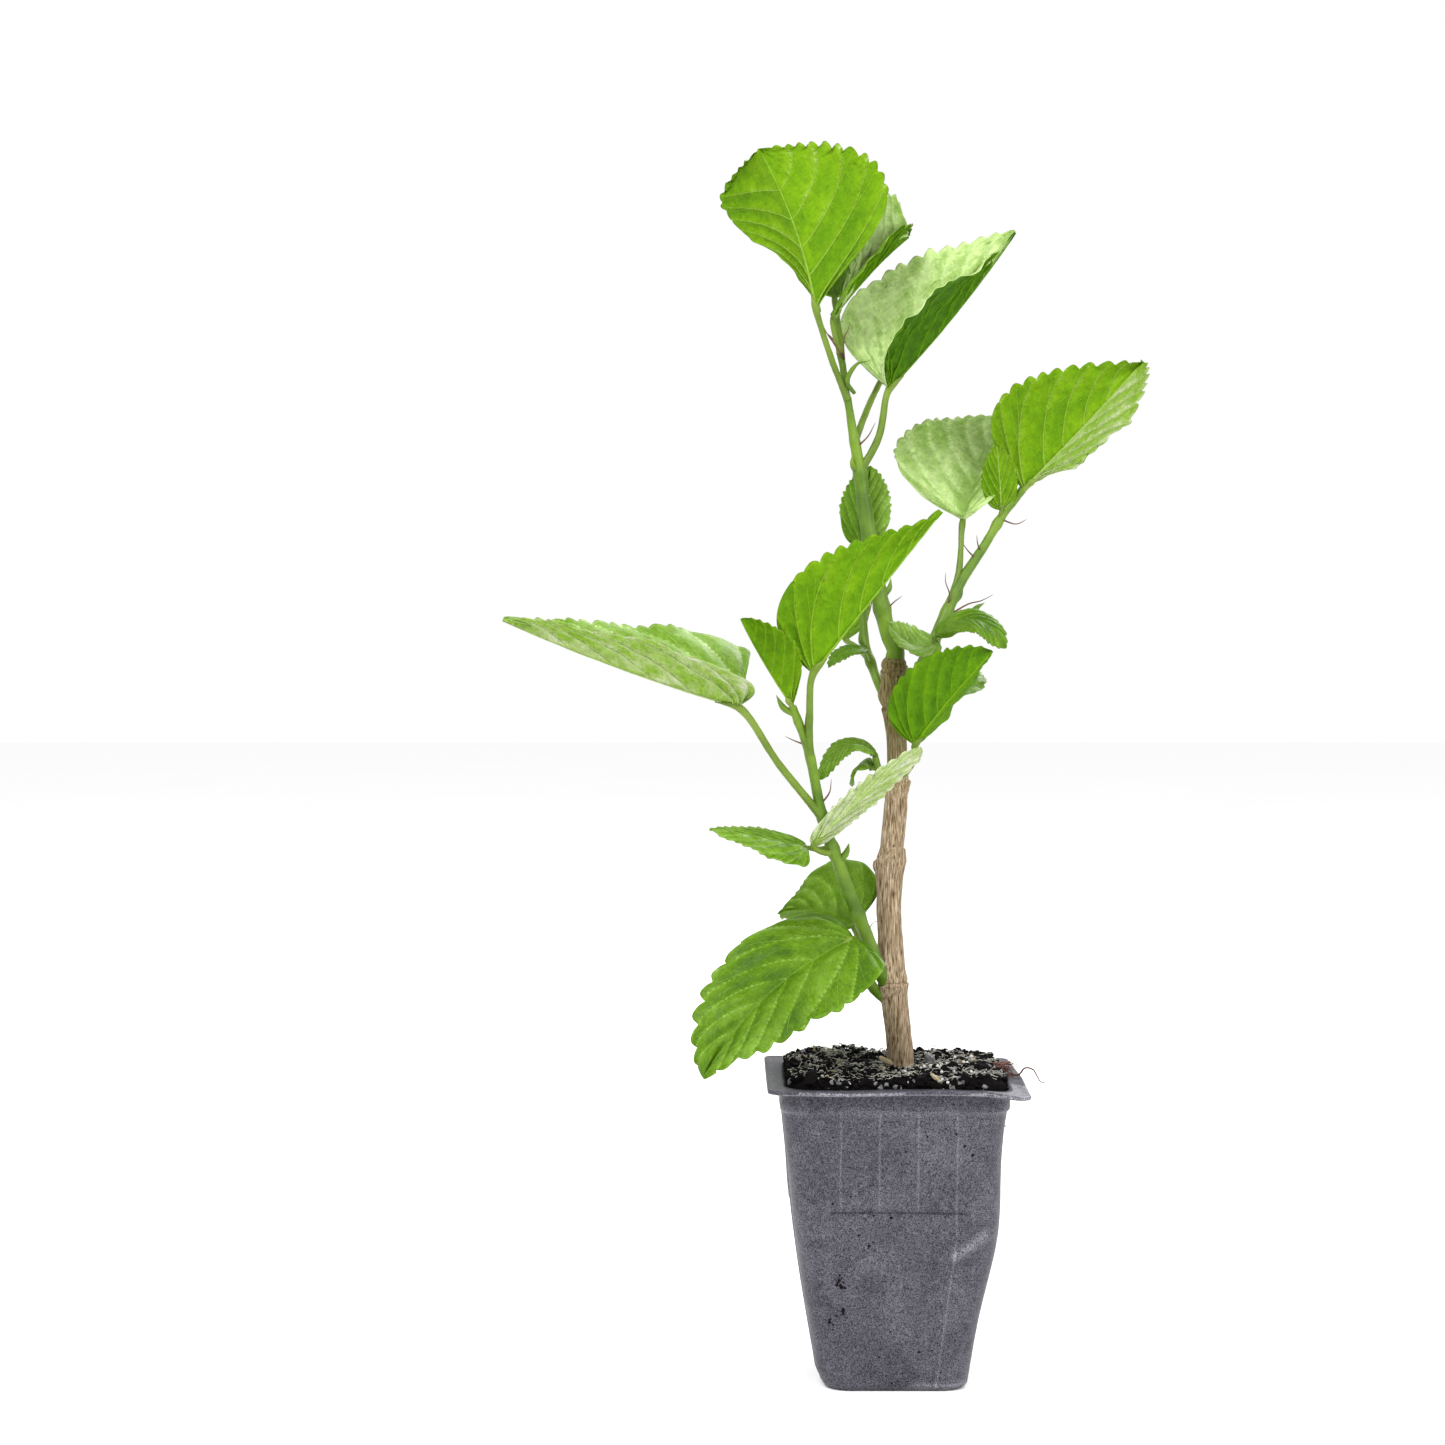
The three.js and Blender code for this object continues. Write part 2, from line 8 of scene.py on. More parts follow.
import bpy
import numpy as np
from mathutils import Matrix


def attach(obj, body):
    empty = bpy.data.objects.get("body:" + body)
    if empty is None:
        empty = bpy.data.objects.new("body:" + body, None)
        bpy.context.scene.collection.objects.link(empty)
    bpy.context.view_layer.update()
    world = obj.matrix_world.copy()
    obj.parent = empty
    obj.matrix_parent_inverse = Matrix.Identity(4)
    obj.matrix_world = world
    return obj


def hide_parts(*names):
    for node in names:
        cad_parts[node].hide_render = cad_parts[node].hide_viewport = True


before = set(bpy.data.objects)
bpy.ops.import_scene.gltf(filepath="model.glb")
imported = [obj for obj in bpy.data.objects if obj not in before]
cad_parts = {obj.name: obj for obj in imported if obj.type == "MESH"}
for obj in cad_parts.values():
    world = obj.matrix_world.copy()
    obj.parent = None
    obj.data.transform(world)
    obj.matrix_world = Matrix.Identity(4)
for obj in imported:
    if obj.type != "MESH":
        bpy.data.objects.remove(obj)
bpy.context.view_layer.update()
MM = 0.001

# Shared sizes, the same as in the part's source

CLEAR = 0.3   # gap between a limb's end and what carries on from it
SMOOTH_EDGE = 0.3   # share of a leaf's edge, from its base, that has no teeth
VEIN_SWEEP = 1.7   # how far the side veins lean towards the tip
POT_HEIGHT = 104.8
POT_WALL = 1.0
POT_FLOOR = 1.2
BASE_HALF = 24.5
COLLAR_HALF = 38.0
RIM_HALF = 44.0
RIM_THICKNESS = 1.6
COLLAR_HEIGHT = 7.0
COLLAR_FOOT = POT_HEIGHT - RIM_THICKNESS - COLLAR_HEIGHT
DRAIN_RADIUS = 3.5
DRAIN_OFFSET = 14.0
SOIL_TOP = 107.0
TRUNK_X = 2.6


# Small maths

def vec(p):
    return np.asarray(p, float)


def unit(v):
    return v / np.maximum(np.linalg.norm(v, axis=-1, keepdims=True), 1e-9)


def lerp(a, b, s):
    return a + (b - a) * s


def smooth(s):
    s = np.clip(s, 0, 1)
    return s * s * (3 - 2 * s)


def bell(distance, reach):
    return np.exp(-(distance / reach) ** 2)


def lattice(cell, seed):
    """A repeatable number from -1 to 1 for each whole-numbered cell."""
    x, y, z = (cell[..., i].astype(np.int64) for i in range(3))
    h = (x * 374761393 + y * 668265263 + z * 2147483647 + seed * 974634777) & 0xFFFFFFFF
    h = ((h ^ (h >> 13)) * 1274126177) & 0xFFFFFFFF
    return ((h ^ (h >> 16)) & 0xFFFF) / 32767.5 - 1


def noise(points, scale, seed=0):
    """Smooth value noise of about -1 to 1, one bump per scale."""
    p = points / scale
    cell = np.floor(p)
    s = smooth(p - cell)
    total = 0
    for dx in (0, 1):
        for dy in (0, 1):
            for dz in (0, 1):
                weight = (s[..., 0] if dx else 1 - s[..., 0])
                weight = weight * (s[..., 1] if dy else 1 - s[..., 1])
                weight = weight * (s[..., 2] if dz else 1 - s[..., 2])
                total = total + weight * lattice(cell + (dx, dy, dz), seed)
    return total


def rough(points, scale, octaves, seed=0):
    total = 0
    for i in range(octaves):
        total = total + noise(points, scale / 2 ** i, seed + i) / 2 ** i
    return total


class Path:
    """Centripetal smooth curve through points, measured by length."""

    def __init__(self, points):
        p = [vec(q) for q in points]
        p = [2 * p[0] - p[1]] + p + [2 * p[-1] - p[-2]]
        out = []
        for a, b, c, d in zip(p, p[1:], p[2:], p[3:]):
            near, span, far = (max(np.linalg.norm(q - r) ** 0.5, 1e-4) for q, r in ((b, a), (c, b), (d, c)))
            start = ((b - a) / near - (c - a) / (near + span) + (c - b) / span) * span
            end = ((c - b) / span - (d - b) / (span + far) + (d - c) / far) * span
            s = np.linspace(0, 1, 25)[:-1, None]
            turn = (3 * (c - b) - 2 * start - end) * s ** 2 + (2 * (b - c) + start + end) * s ** 3
            out.append(b + start * s + turn)
        out.append(p[-2][None])
        self.points = np.concatenate(out)
        steps = np.linalg.norm(np.diff(self.points, axis=0), axis=1)
        self.reach = np.concatenate([[0], np.cumsum(steps)])
        self.length = self.reach[-1]

    def at(self, share):
        s = np.asarray(share) * self.length
        return np.stack([np.interp(s, self.reach, self.points[:, i]) for i in range(3)], -1)

    def nearest(self, point):
        """Share along the path that comes nearest to a point."""
        i = np.argmin(np.linalg.norm(self.points - vec(point), axis=1))
        return self.reach[i] / self.length

    def frames(self, count):
        """Centres along the path with two turn-free cross directions."""
        share = np.linspace(0, 1, count)
        centre = self.at(share)
        ahead = unit(self.at(np.minimum(share + 0.002, 1)) - self.at(np.maximum(share - 0.002, 0)))
        side = np.zeros_like(centre)
        first = np.eye(3)[np.argmin(np.abs(ahead[0]))]
        side[0] = unit(np.cross(ahead[0], first))
        for i in range(1, count):
            side[i] = unit(side[i - 1] - ahead[i] * np.dot(side[i - 1], ahead[i]))
        return share, centre, ahead, side, np.cross(ahead, side)


def go_on(points, rest):
    """Points that carry on from a limb's tip, clear of it."""
    path = Path(points)
    tip = path.at(1.0)
    ahead = unit(tip - path.at(0.998))
    return [tip + ahead * CLEAR, tip + ahead * (CLEAR + 2)] + [vec(p) for p in rest]


# Mesh store: things of one kind are gathered here and become one object

class Store:
    """Points and faces of one kind of thing, with a material number and a place on its map per face."""

    def __init__(self):
        self.points = []
        self.faces = {3: [], 4: []}
        self.skins = {3: [], 4: []}
        self.maps = {3: [], 4: []}
        self.count = 0

    def add(self, points, quads=None, tris=None, skin=0, quad_map=None, tri_map=None, tri_skin=None):
        points = np.asarray(points, float).reshape(-1, 3)
        tri_skin = skin if tri_skin is None else tri_skin
        for corners, faces, spread, tone in ((4, quads, quad_map, skin), (3, tris, tri_map, tri_skin)):
            if faces is None or not len(faces):
                continue
            faces = np.asarray(faces, np.int64)
            self.faces[corners].append(faces + self.count)
            self.skins[corners].append(np.zeros(len(faces), int) + tone)
            if spread is not None:
                self.maps[corners].append(np.asarray(spread, float))
        self.points.append(points)
        self.count += len(points)

    def build(self, name, materials, nodes=(), slot=None, smooth_faces=True):
        points = np.concatenate(self.points) * MM
        corners = np.concatenate([f.ravel() for size in (4, 3) for f in self.faces[size]])
        skins = np.concatenate([s for size in (4, 3) for s in self.skins[size]])
        sizes = np.concatenate([np.full(len(f), size) for size in (4, 3) for f in self.faces[size]])
        mesh = bpy.data.meshes.new(name)
        mesh.vertices.add(len(points))
        mesh.vertices.foreach_set("co", points.ravel())
        mesh.loops.add(len(corners))
        mesh.loops.foreach_set("vertex_index", corners.astype(np.int32))
        mesh.polygons.add(len(sizes))
        starts = np.concatenate([[0], np.cumsum(sizes)[:-1]])
        mesh.polygons.foreach_set("loop_start", starts.astype(np.int32))
        for material in materials:
            mesh.materials.append(material)
        mesh.polygons.foreach_set("material_index", skins.astype(np.int32))
        mesh.polygons.foreach_set("use_smooth", np.full(len(sizes), smooth_faces))
        spread = [m.reshape(-1, 2) for size in (4, 3) for m in self.maps[size]]
        if sum(map(len, spread)) == len(corners):
            layer = mesh.uv_layers.new(name="OFBake")
            layer.uv.foreach_set("vector", np.concatenate(spread).astype(np.float32).ravel())
        mesh.update(calc_edges=True)
        mesh.validate()
        piece = bpy.data.objects.new(name, mesh)
        bpy.context.scene.collection.objects.link(piece)
        return dress(piece, nodes)


def dress(piece, nodes=()):
    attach(piece, "root")
    if nodes:
        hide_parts(*nodes)
    return piece


def ring_quads(rings, sides, closed=True):
    i, j = np.meshgrid(np.arange(rings - 1), np.arange(sides if closed else sides - 1), indexing="ij")
    a = i * sides + j
    b = i * sides + (j + 1) % sides
    return np.stack([a, b, b + sides, a + sides], -1).reshape(-1, 4)


MAP_INSET = 0.03   # free border of each cell of a map, as a share of the cell


def grid_map(rings, columns, cell=(0, 0), cells=1):
    """Map corners of a grid's faces, in one cell of a square sheet of cells."""
    i, j = np.meshgrid(np.arange(rings - 1), np.arange(columns), indexing="ij")
    corner = np.stack([np.stack([j, i], -1), np.stack([j + 1, i], -1), np.stack([j + 1, i + 1], -1),
                       np.stack([j, i + 1], -1)], -2).reshape(-1, 4, 2)
    share = corner / np.array([columns, rings - 1])
    return (np.array(cell) + MAP_INSET + share * (1 - 2.5 * MAP_INSET)) / cells


def strip_map(count, cell=(0, 0), cells=1):
    """Map corners of a run of faces, in a thin strip along the top of a cell."""
    share = np.arange(count + 1) / count
    a, b = share[:-1], share[1:]
    low, high = a * 0 + 1 - MAP_INSET, a * 0 + 1 - 0.4 * MAP_INSET
    corner = np.stack([np.stack([a, low], -1), np.stack([a, high], -1), np.stack([b, high], -1),
                       np.stack([b, low], -1)], 1)
    return (np.array(cell) + np.array([MAP_INSET, 0]) + corner * np.array([1 - 2 * MAP_INSET, 1])) / cells


def end_caps(rings, sides, grid, centre):
    """The grid with a point at each end, and the triangles that close it."""
    j = np.arange(sides)
    k = (j + 1) % sides
    last = (rings - 1) * sides
    first = len(grid)
    tris = np.concatenate([
        np.stack([np.full(sides, first), k, j], -1),
        np.stack([np.full(sides, first + 1), j + last, k + last], -1)])
    return np.concatenate([grid, centre[:1], centre[-1:]]), tris


def tube(store, points, radius, sides=8, rings=12, skin=0, relief=None, mapped=False):
    """A round limb along a path; radius takes the share of the way along."""
    path = points if isinstance(points, Path) else Path(points)
    share, centre, _, side, other = path.frames(rings)
    turn = np.linspace(0, 2 * np.pi, sides, endpoint=False)
    size = np.array([radius(s) for s in share])[:, None]
    out = side[:, None] * np.cos(turn)[None, :, None] + other[:, None] * np.sin(turn)[None, :, None]
    ring = centre[:, None] + out * size[..., None]
    if relief is not None:
        ring = ring + out * relief(ring, out)[..., None]
    grid, tris = end_caps(rings, sides, ring.reshape(-1, 3), centre)
    quad_map = tri_map = None
    if mapped:
        quad_map = grid_map(rings, sides)
        tri_map = strip_map(len(tris))[:, :3]
    store.add(grid, ring_quads(rings, sides), tris, skin, quad_map, tri_map)


def taper(a, b):
    return lambda s: lerp(a, b, s)


def ball(level):
    """Points and triangles of a unit icosahedron, split once where level is 1."""
    g = (1 + 5 ** 0.5) / 2
    points = [(-1, g, 0), (1, g, 0), (-1, -g, 0), (1, -g, 0), (0, -1, g), (0, 1, g),
              (0, -1, -g), (0, 1, -g), (g, 0, -1), (g, 0, 1), (-g, 0, -1), (-g, 0, 1)]
    tris = [(0, 11, 5), (0, 5, 1), (0, 1, 7), (0, 7, 10), (0, 10, 11),
            (1, 5, 9), (5, 11, 4), (11, 10, 2), (10, 7, 6), (7, 1, 8),
            (3, 9, 4), (3, 4, 2), (3, 2, 6), (3, 6, 8), (3, 8, 9),
            (4, 9, 5), (2, 4, 11), (6, 2, 10), (8, 6, 7), (9, 8, 1)]
    points = [unit(vec(p)) for p in points]
    for _ in range(level):
        middle = {}

        def between(a, b):
            key = (min(a, b), max(a, b))
            if key not in middle:
                middle[key] = len(points)
                points.append(unit(points[a] + points[b]))
            return middle[key]

        split = []
        for a, b, c in tris:
            d, e, f = between(a, b), between(b, c), between(c, a)
            split += [(a, d, f), (b, e, d), (c, f, e), (d, e, f)]
        tris = split
    return np.array(points), np.array(tris)


BALLS = [ball(0), ball(1)]


def lump(store, rng, place, size, stretch=(1, 1, 1), level=0, skin=0, ragged=0.3):
    """A rough crumb: a ball with uneven sides, turned at random."""
    points, tris = BALLS[level]
    grain = points * (1 + ragged * rng.uniform(-1, 1, (len(points), 1))) * vec(stretch)
    turn, _ = np.linalg.qr(rng.normal(size=(3, 3)))
    if np.linalg.det(turn) < 0:
        turn = -turn
    store.add(grain @ turn.T * size + vec(place), tris=tris, skin=skin)


# Materials

def srgb(r, g, b):
    """A screen tone of 0 to 255 as a linear colour."""
    shares = (c / 255 for c in (r, g, b))
    return tuple(((c + 0.055) / 1.055) ** 2.4 if c > 10 / 255 else c / 12.92 for c in shares) + (1.0,)


def shader(name, color, roughness, specular=0.5):
    material = bpy.data.materials.new(name)
    material.use_nodes = True
    base = material.node_tree.nodes["Principled BSDF"]
    base.inputs["Base Color"].default_value = color
    base.inputs["Roughness"].default_value = roughness
    base.inputs["Specular IOR Level"].default_value = specular
    return material, material.node_tree, base


def coordinates(tree, scale=(1, 1, 1)):
    place = tree.nodes.new("ShaderNodeTexCoord")
    mapping = tree.nodes.new("ShaderNodeMapping")
    mapping.inputs["Scale"].default_value = scale
    tree.links.new(place.outputs["Object"], mapping.inputs["Vector"])
    return mapping.outputs["Vector"]


def grain(tree, vector, scale, detail=3.0, roughness=0.5):
    made = tree.nodes.new("ShaderNodeTexNoise")
    made.inputs["Scale"].default_value = scale
    made.inputs["Detail"].default_value = detail
    made.inputs["Roughness"].default_value = roughness
    tree.links.new(vector, made.inputs["Vector"])
    return made.outputs["Fac"]


def ramp(tree, value, stops):
    """A colour for each value; stops are (place, colour)."""
    made = tree.nodes.new("ShaderNodeValToRGB")
    elements = made.color_ramp.elements
    while len(elements) < len(stops):
        elements.new(0.5)
    for element, (place, color) in zip(elements, stops):
        element.position = place
        element.color = color
    tree.links.new(value, made.inputs["Fac"])
    return made.outputs["Color"]


def blend(tree, share, first, second):
    """First colour where the share is 0, second where it is 1; either may be a link or a colour."""
    made = tree.nodes.new("ShaderNodeMix")
    made.data_type = "RGBA"
    tree.links.new(share, made.inputs["Factor"])
    for socket, color in ((made.inputs[6], first), (made.inputs[7], second)):
        if isinstance(color, tuple):
            socket.default_value = color
        else:
            tree.links.new(color, socket)
    return made.outputs[2]


def bump(tree, base, height, strength, distance):
    made = tree.nodes.new("ShaderNodeBump")
    made.inputs["Strength"].default_value = strength
    made.inputs["Distance"].default_value = distance
    tree.links.new(height, made.inputs["Height"])
    tree.links.new(made.outputs["Normal"], base.inputs["Normal"])


BLACK, WHITE = (0, 0, 0, 1), (1, 1, 1, 1)

# Fitted to this studio: how much it brightens a plain surface, a leaf's underside and the pot's walls,
# and what a surface's sheen adds
LIGHT, UNDERSIDE_LIGHT, WALL_LIGHT = 1.45, 1.9, 2.7
SHEEN = 0.02


def seen(r, g, b, light=LIGHT):
    """The base colour that shows as this tone in the studio's light."""
    return tuple(max(0.002, (c - SHEEN) / light) for c in srgb(r, g, b)[:3]) + (1.0,)


def mottled(name, low, high, scale, roughness, specular=0.4, relief=0.0):
    """Two tones that run into each other, with a light grain."""
    material, tree, base = shader(name, seen(*low), roughness, specular)
    value = grain(tree, coordinates(tree), scale)
    tree.links.new(ramp(tree, value, [(0.32, seen(*low)), (0.68, seen(*high))]), base.inputs["Base Color"])
    if relief:
        bump(tree, base, value, 0.5, relief)
    return material


def leaf_material(name, color, roughness, specular, relief):
    """Leaf skin of one tone, with a fine grain and a faint net of veinlets."""
    material, tree, base = shader(name, color, roughness, specular)
    place = coordinates(tree)
    light = tuple(min(1.0, c * 1.12) for c in color[:3]) + (1.0,)
    dark = tuple(c * 0.88 for c in color[:3]) + (1.0,)
    tone = ramp(tree, grain(tree, place, 420, 3), [(0.35, dark), (0.65, light)])
    cells = tree.nodes.new("ShaderNodeTexVoronoi")
    cells.feature = "DISTANCE_TO_EDGE"
    cells.inputs["Scale"].default_value = 560
    tree.links.new(place, cells.inputs["Vector"])
    line = ramp(tree, cells.outputs["Distance"], [(0.0, (0.5, 0.5, 0.5, 1)), (0.1, BLACK)])
    net = tuple(min(1.0, c * 1.25 + 0.003) for c in color[:3]) + (1.0,)
    tree.links.new(blend(tree, line, tone, net), base.inputs["Base Color"])
    bump(tree, base, cells.outputs["Distance"], 0.4, relief)
    return material


def tones(keys, count):
    """So many tones that run evenly through a few key colours."""
    place = np.linspace(0, len(keys) - 1, count)
    channels = [np.interp(place, range(len(keys)), channel) for channel in zip(*keys)]
    return list(zip(*channels))


TONES = 17


def shade(tone):
    """The place in a list of materials of a tone from 0, deep, to 8, pale."""
    return np.clip(np.rint(2 * np.asarray(tone)), 0, TONES - 1).astype(int)


# Key colours, from deep to pale, of the leaves' upper and lower faces
UPPER_KEYS = ((62, 94, 12), (88, 124, 30), (120, 158, 60), (150, 184, 96), (200, 226, 150))
LOWER_KEYS = ((80, 122, 4), (104, 154, 10), (125, 174, 22), (154, 196, 74), (226, 236, 196))
UPPER = [leaf_material(f"leaf_upper_{i}", seen(*tone), 0.45, 0.11, 0.00025)
         for i, tone in enumerate(tones(UPPER_KEYS, TONES))]
LOWER = [leaf_material(f"leaf_lower_{i}", seen(*tone, UNDERSIDE_LIGHT), 0.65, 0.06, -0.00025)
         for i, tone in enumerate(tones(LOWER_KEYS, TONES))]
SHOOT = mottled("green_shoot", (84, 118, 24), (126, 158, 54), 90, 0.45, 0.3, relief=0.0002)
PETIOLE = mottled("petiole", (92, 120, 28), (138, 164, 66), 60, 0.45, 0.3, relief=0.0002)
STIPULE = mottled("stipule", (92, 62, 52), (134, 100, 76), 300, 0.6)
TOOTH = mottled("tooth_tip", (112, 112, 44), (150, 146, 84), 300, 0.6)
FIBRE = mottled("root_fibre", (148, 147, 136), (226, 225, 212), 200, 0.85, 0.2)
ROOT = mottled("root_brown", (92, 66, 62), (146, 112, 100), 200, 0.85, 0.2)
CRUMB = [mottled("soil_crumb_black", (20, 18, 20), (44, 41, 42), 500, 0.95, 0.1),
         mottled("soil_crumb_grey", (94, 93, 95), (162, 161, 162), 500, 0.95, 0.1)]
CHIP = mottled("bark_chip", (138, 120, 88), (206, 190, 158), 260, 0.85, 0.2)
PERLITE = mottled("perlite", (216, 214, 208), (244, 243, 240), 400, 0.9)
DIRT = mottled("dried_dirt", (20, 17, 16), (46, 40, 36), 300, 0.95, 0.15)


OLIVE_FROM, OLIVE_FULL = 196, 226   # heights between which the bark turns olive


def bark_material():
    """Tan bark with fine dark lengthwise streaks, turning olive brown towards the top."""
    material, tree, base = shader("bark", seen(176, 154, 124), 0.85, 0.2)
    streak = grain(tree, coordinates(tree, (1, 1, 0.09)), 2100, 5, 0.66)
    tan = ramp(tree, streak, [(0.34, seen(82, 64, 46)), (0.44, seen(146, 124, 96)),
                              (0.56, seen(188, 168, 140)), (0.68, seen(228, 212, 188))])
    olive = ramp(tree, streak, [(0.34, seen(84, 72, 44)), (0.46, seen(138, 122, 82)),
                                (0.6, seen(176, 162, 116)), (0.72, seen(210, 196, 152))])
    parts = tree.nodes.new("ShaderNodeSeparateXYZ")
    tree.links.new(coordinates(tree), parts.inputs["Vector"])
    height = tree.nodes.new("ShaderNodeMapRange")
    height.inputs["From Min"].default_value = OLIVE_FROM * MM
    height.inputs["From Max"].default_value = OLIVE_FULL * MM
    tree.links.new(parts.outputs["Z"], height.inputs["Value"])
    body = blend(tree, height.outputs["Result"], tan, olive)
    patches = grain(tree, coordinates(tree, (1, 1, 0.5)), 200, 3)
    stain = ramp(tree, patches, [(0.54, BLACK), (0.7, (0.5, 0.5, 0.5, 1))])
    tree.links.new(blend(tree, stain, body, seen(122, 102, 76)), base.inputs["Base Color"])
    bump(tree, base, streak, 0.7, 0.0005)
    return material


def plastic_material(name, tone):
    """Thin scuffed plastic of one tone, with a fine pale grain and dark specks."""
    material, tree, base = shader(name, seen(*tone, WALL_LIGHT), 0.46, min(0.35, tone[0] / 400))
    place = coordinates(tree)
    low = seen(*(0.5 * c for c in tone), WALL_LIGHT)
    high = seen(*(1.5 * c for c in tone), WALL_LIGHT)
    fine = ramp(tree, grain(tree, place, 2400, 2, 0.6), [(0.36, low), (0.62, high)])
    specks = ramp(tree, grain(tree, place, 620, 2), [(0.69, BLACK), (0.74, (0.7, 0.7, 0.7, 1))])
    tree.links.new(blend(tree, specks, fine, seen(46, 43, 48)), base.inputs["Base Color"])
    bump(tree, base, grain(tree, place, 1500, 3), 0.3, 0.0002)
    return material


BARK = bark_material()
# Key colours of the pot's plastic, from deep to pale; the pale ones serve painted highlights, stress
# whitening and dust
PLASTIC_KEYS = ((36, 34, 46), (78, 76, 86), (104, 102, 112), (130, 128, 138), (172, 171, 178))
PLASTIC = [plastic_material(f"pot_plastic_{i}", tone) for i, tone in enumerate(tones(PLASTIC_KEYS, TONES))]


# Leaves

FULL_LEAF = 60   # length from which a leaf has veins of full size
SMALL_LEAF = 25   # length up to which a leaf has a coarser grid and no fine veins
TIP_PLAIN = 0.07   # share of a leaf's length, at its tip, that has no teeth
# Where each side vein leaves the midrib and where it meets the edge, as edge shares, and its thickness
SIDE_VEINS = ((0.03, 0.13, 0.6), (0.06, 0.32, 0.85), (0.11, 0.57, 1.0), (0.4, 0.71, 0.8), (0.56, 0.82, 0.7),
              (0.7, 0.905, 0.6), (0.83, 0.965, 0.5))
CELL_EDGES = ((0, 0),) + tuple(vein[:2] for vein in SIDE_VEINS) + ((1, 1),)


def by_side(value):
    """One value for both halves, or one for the left and one for the right, by the half's sign."""
    return dict(zip((-1, 1), np.broadcast_to(value, 2)))


def vein_track(leave, meet, r):
    return leave + (meet - leave) * r ** 1.12


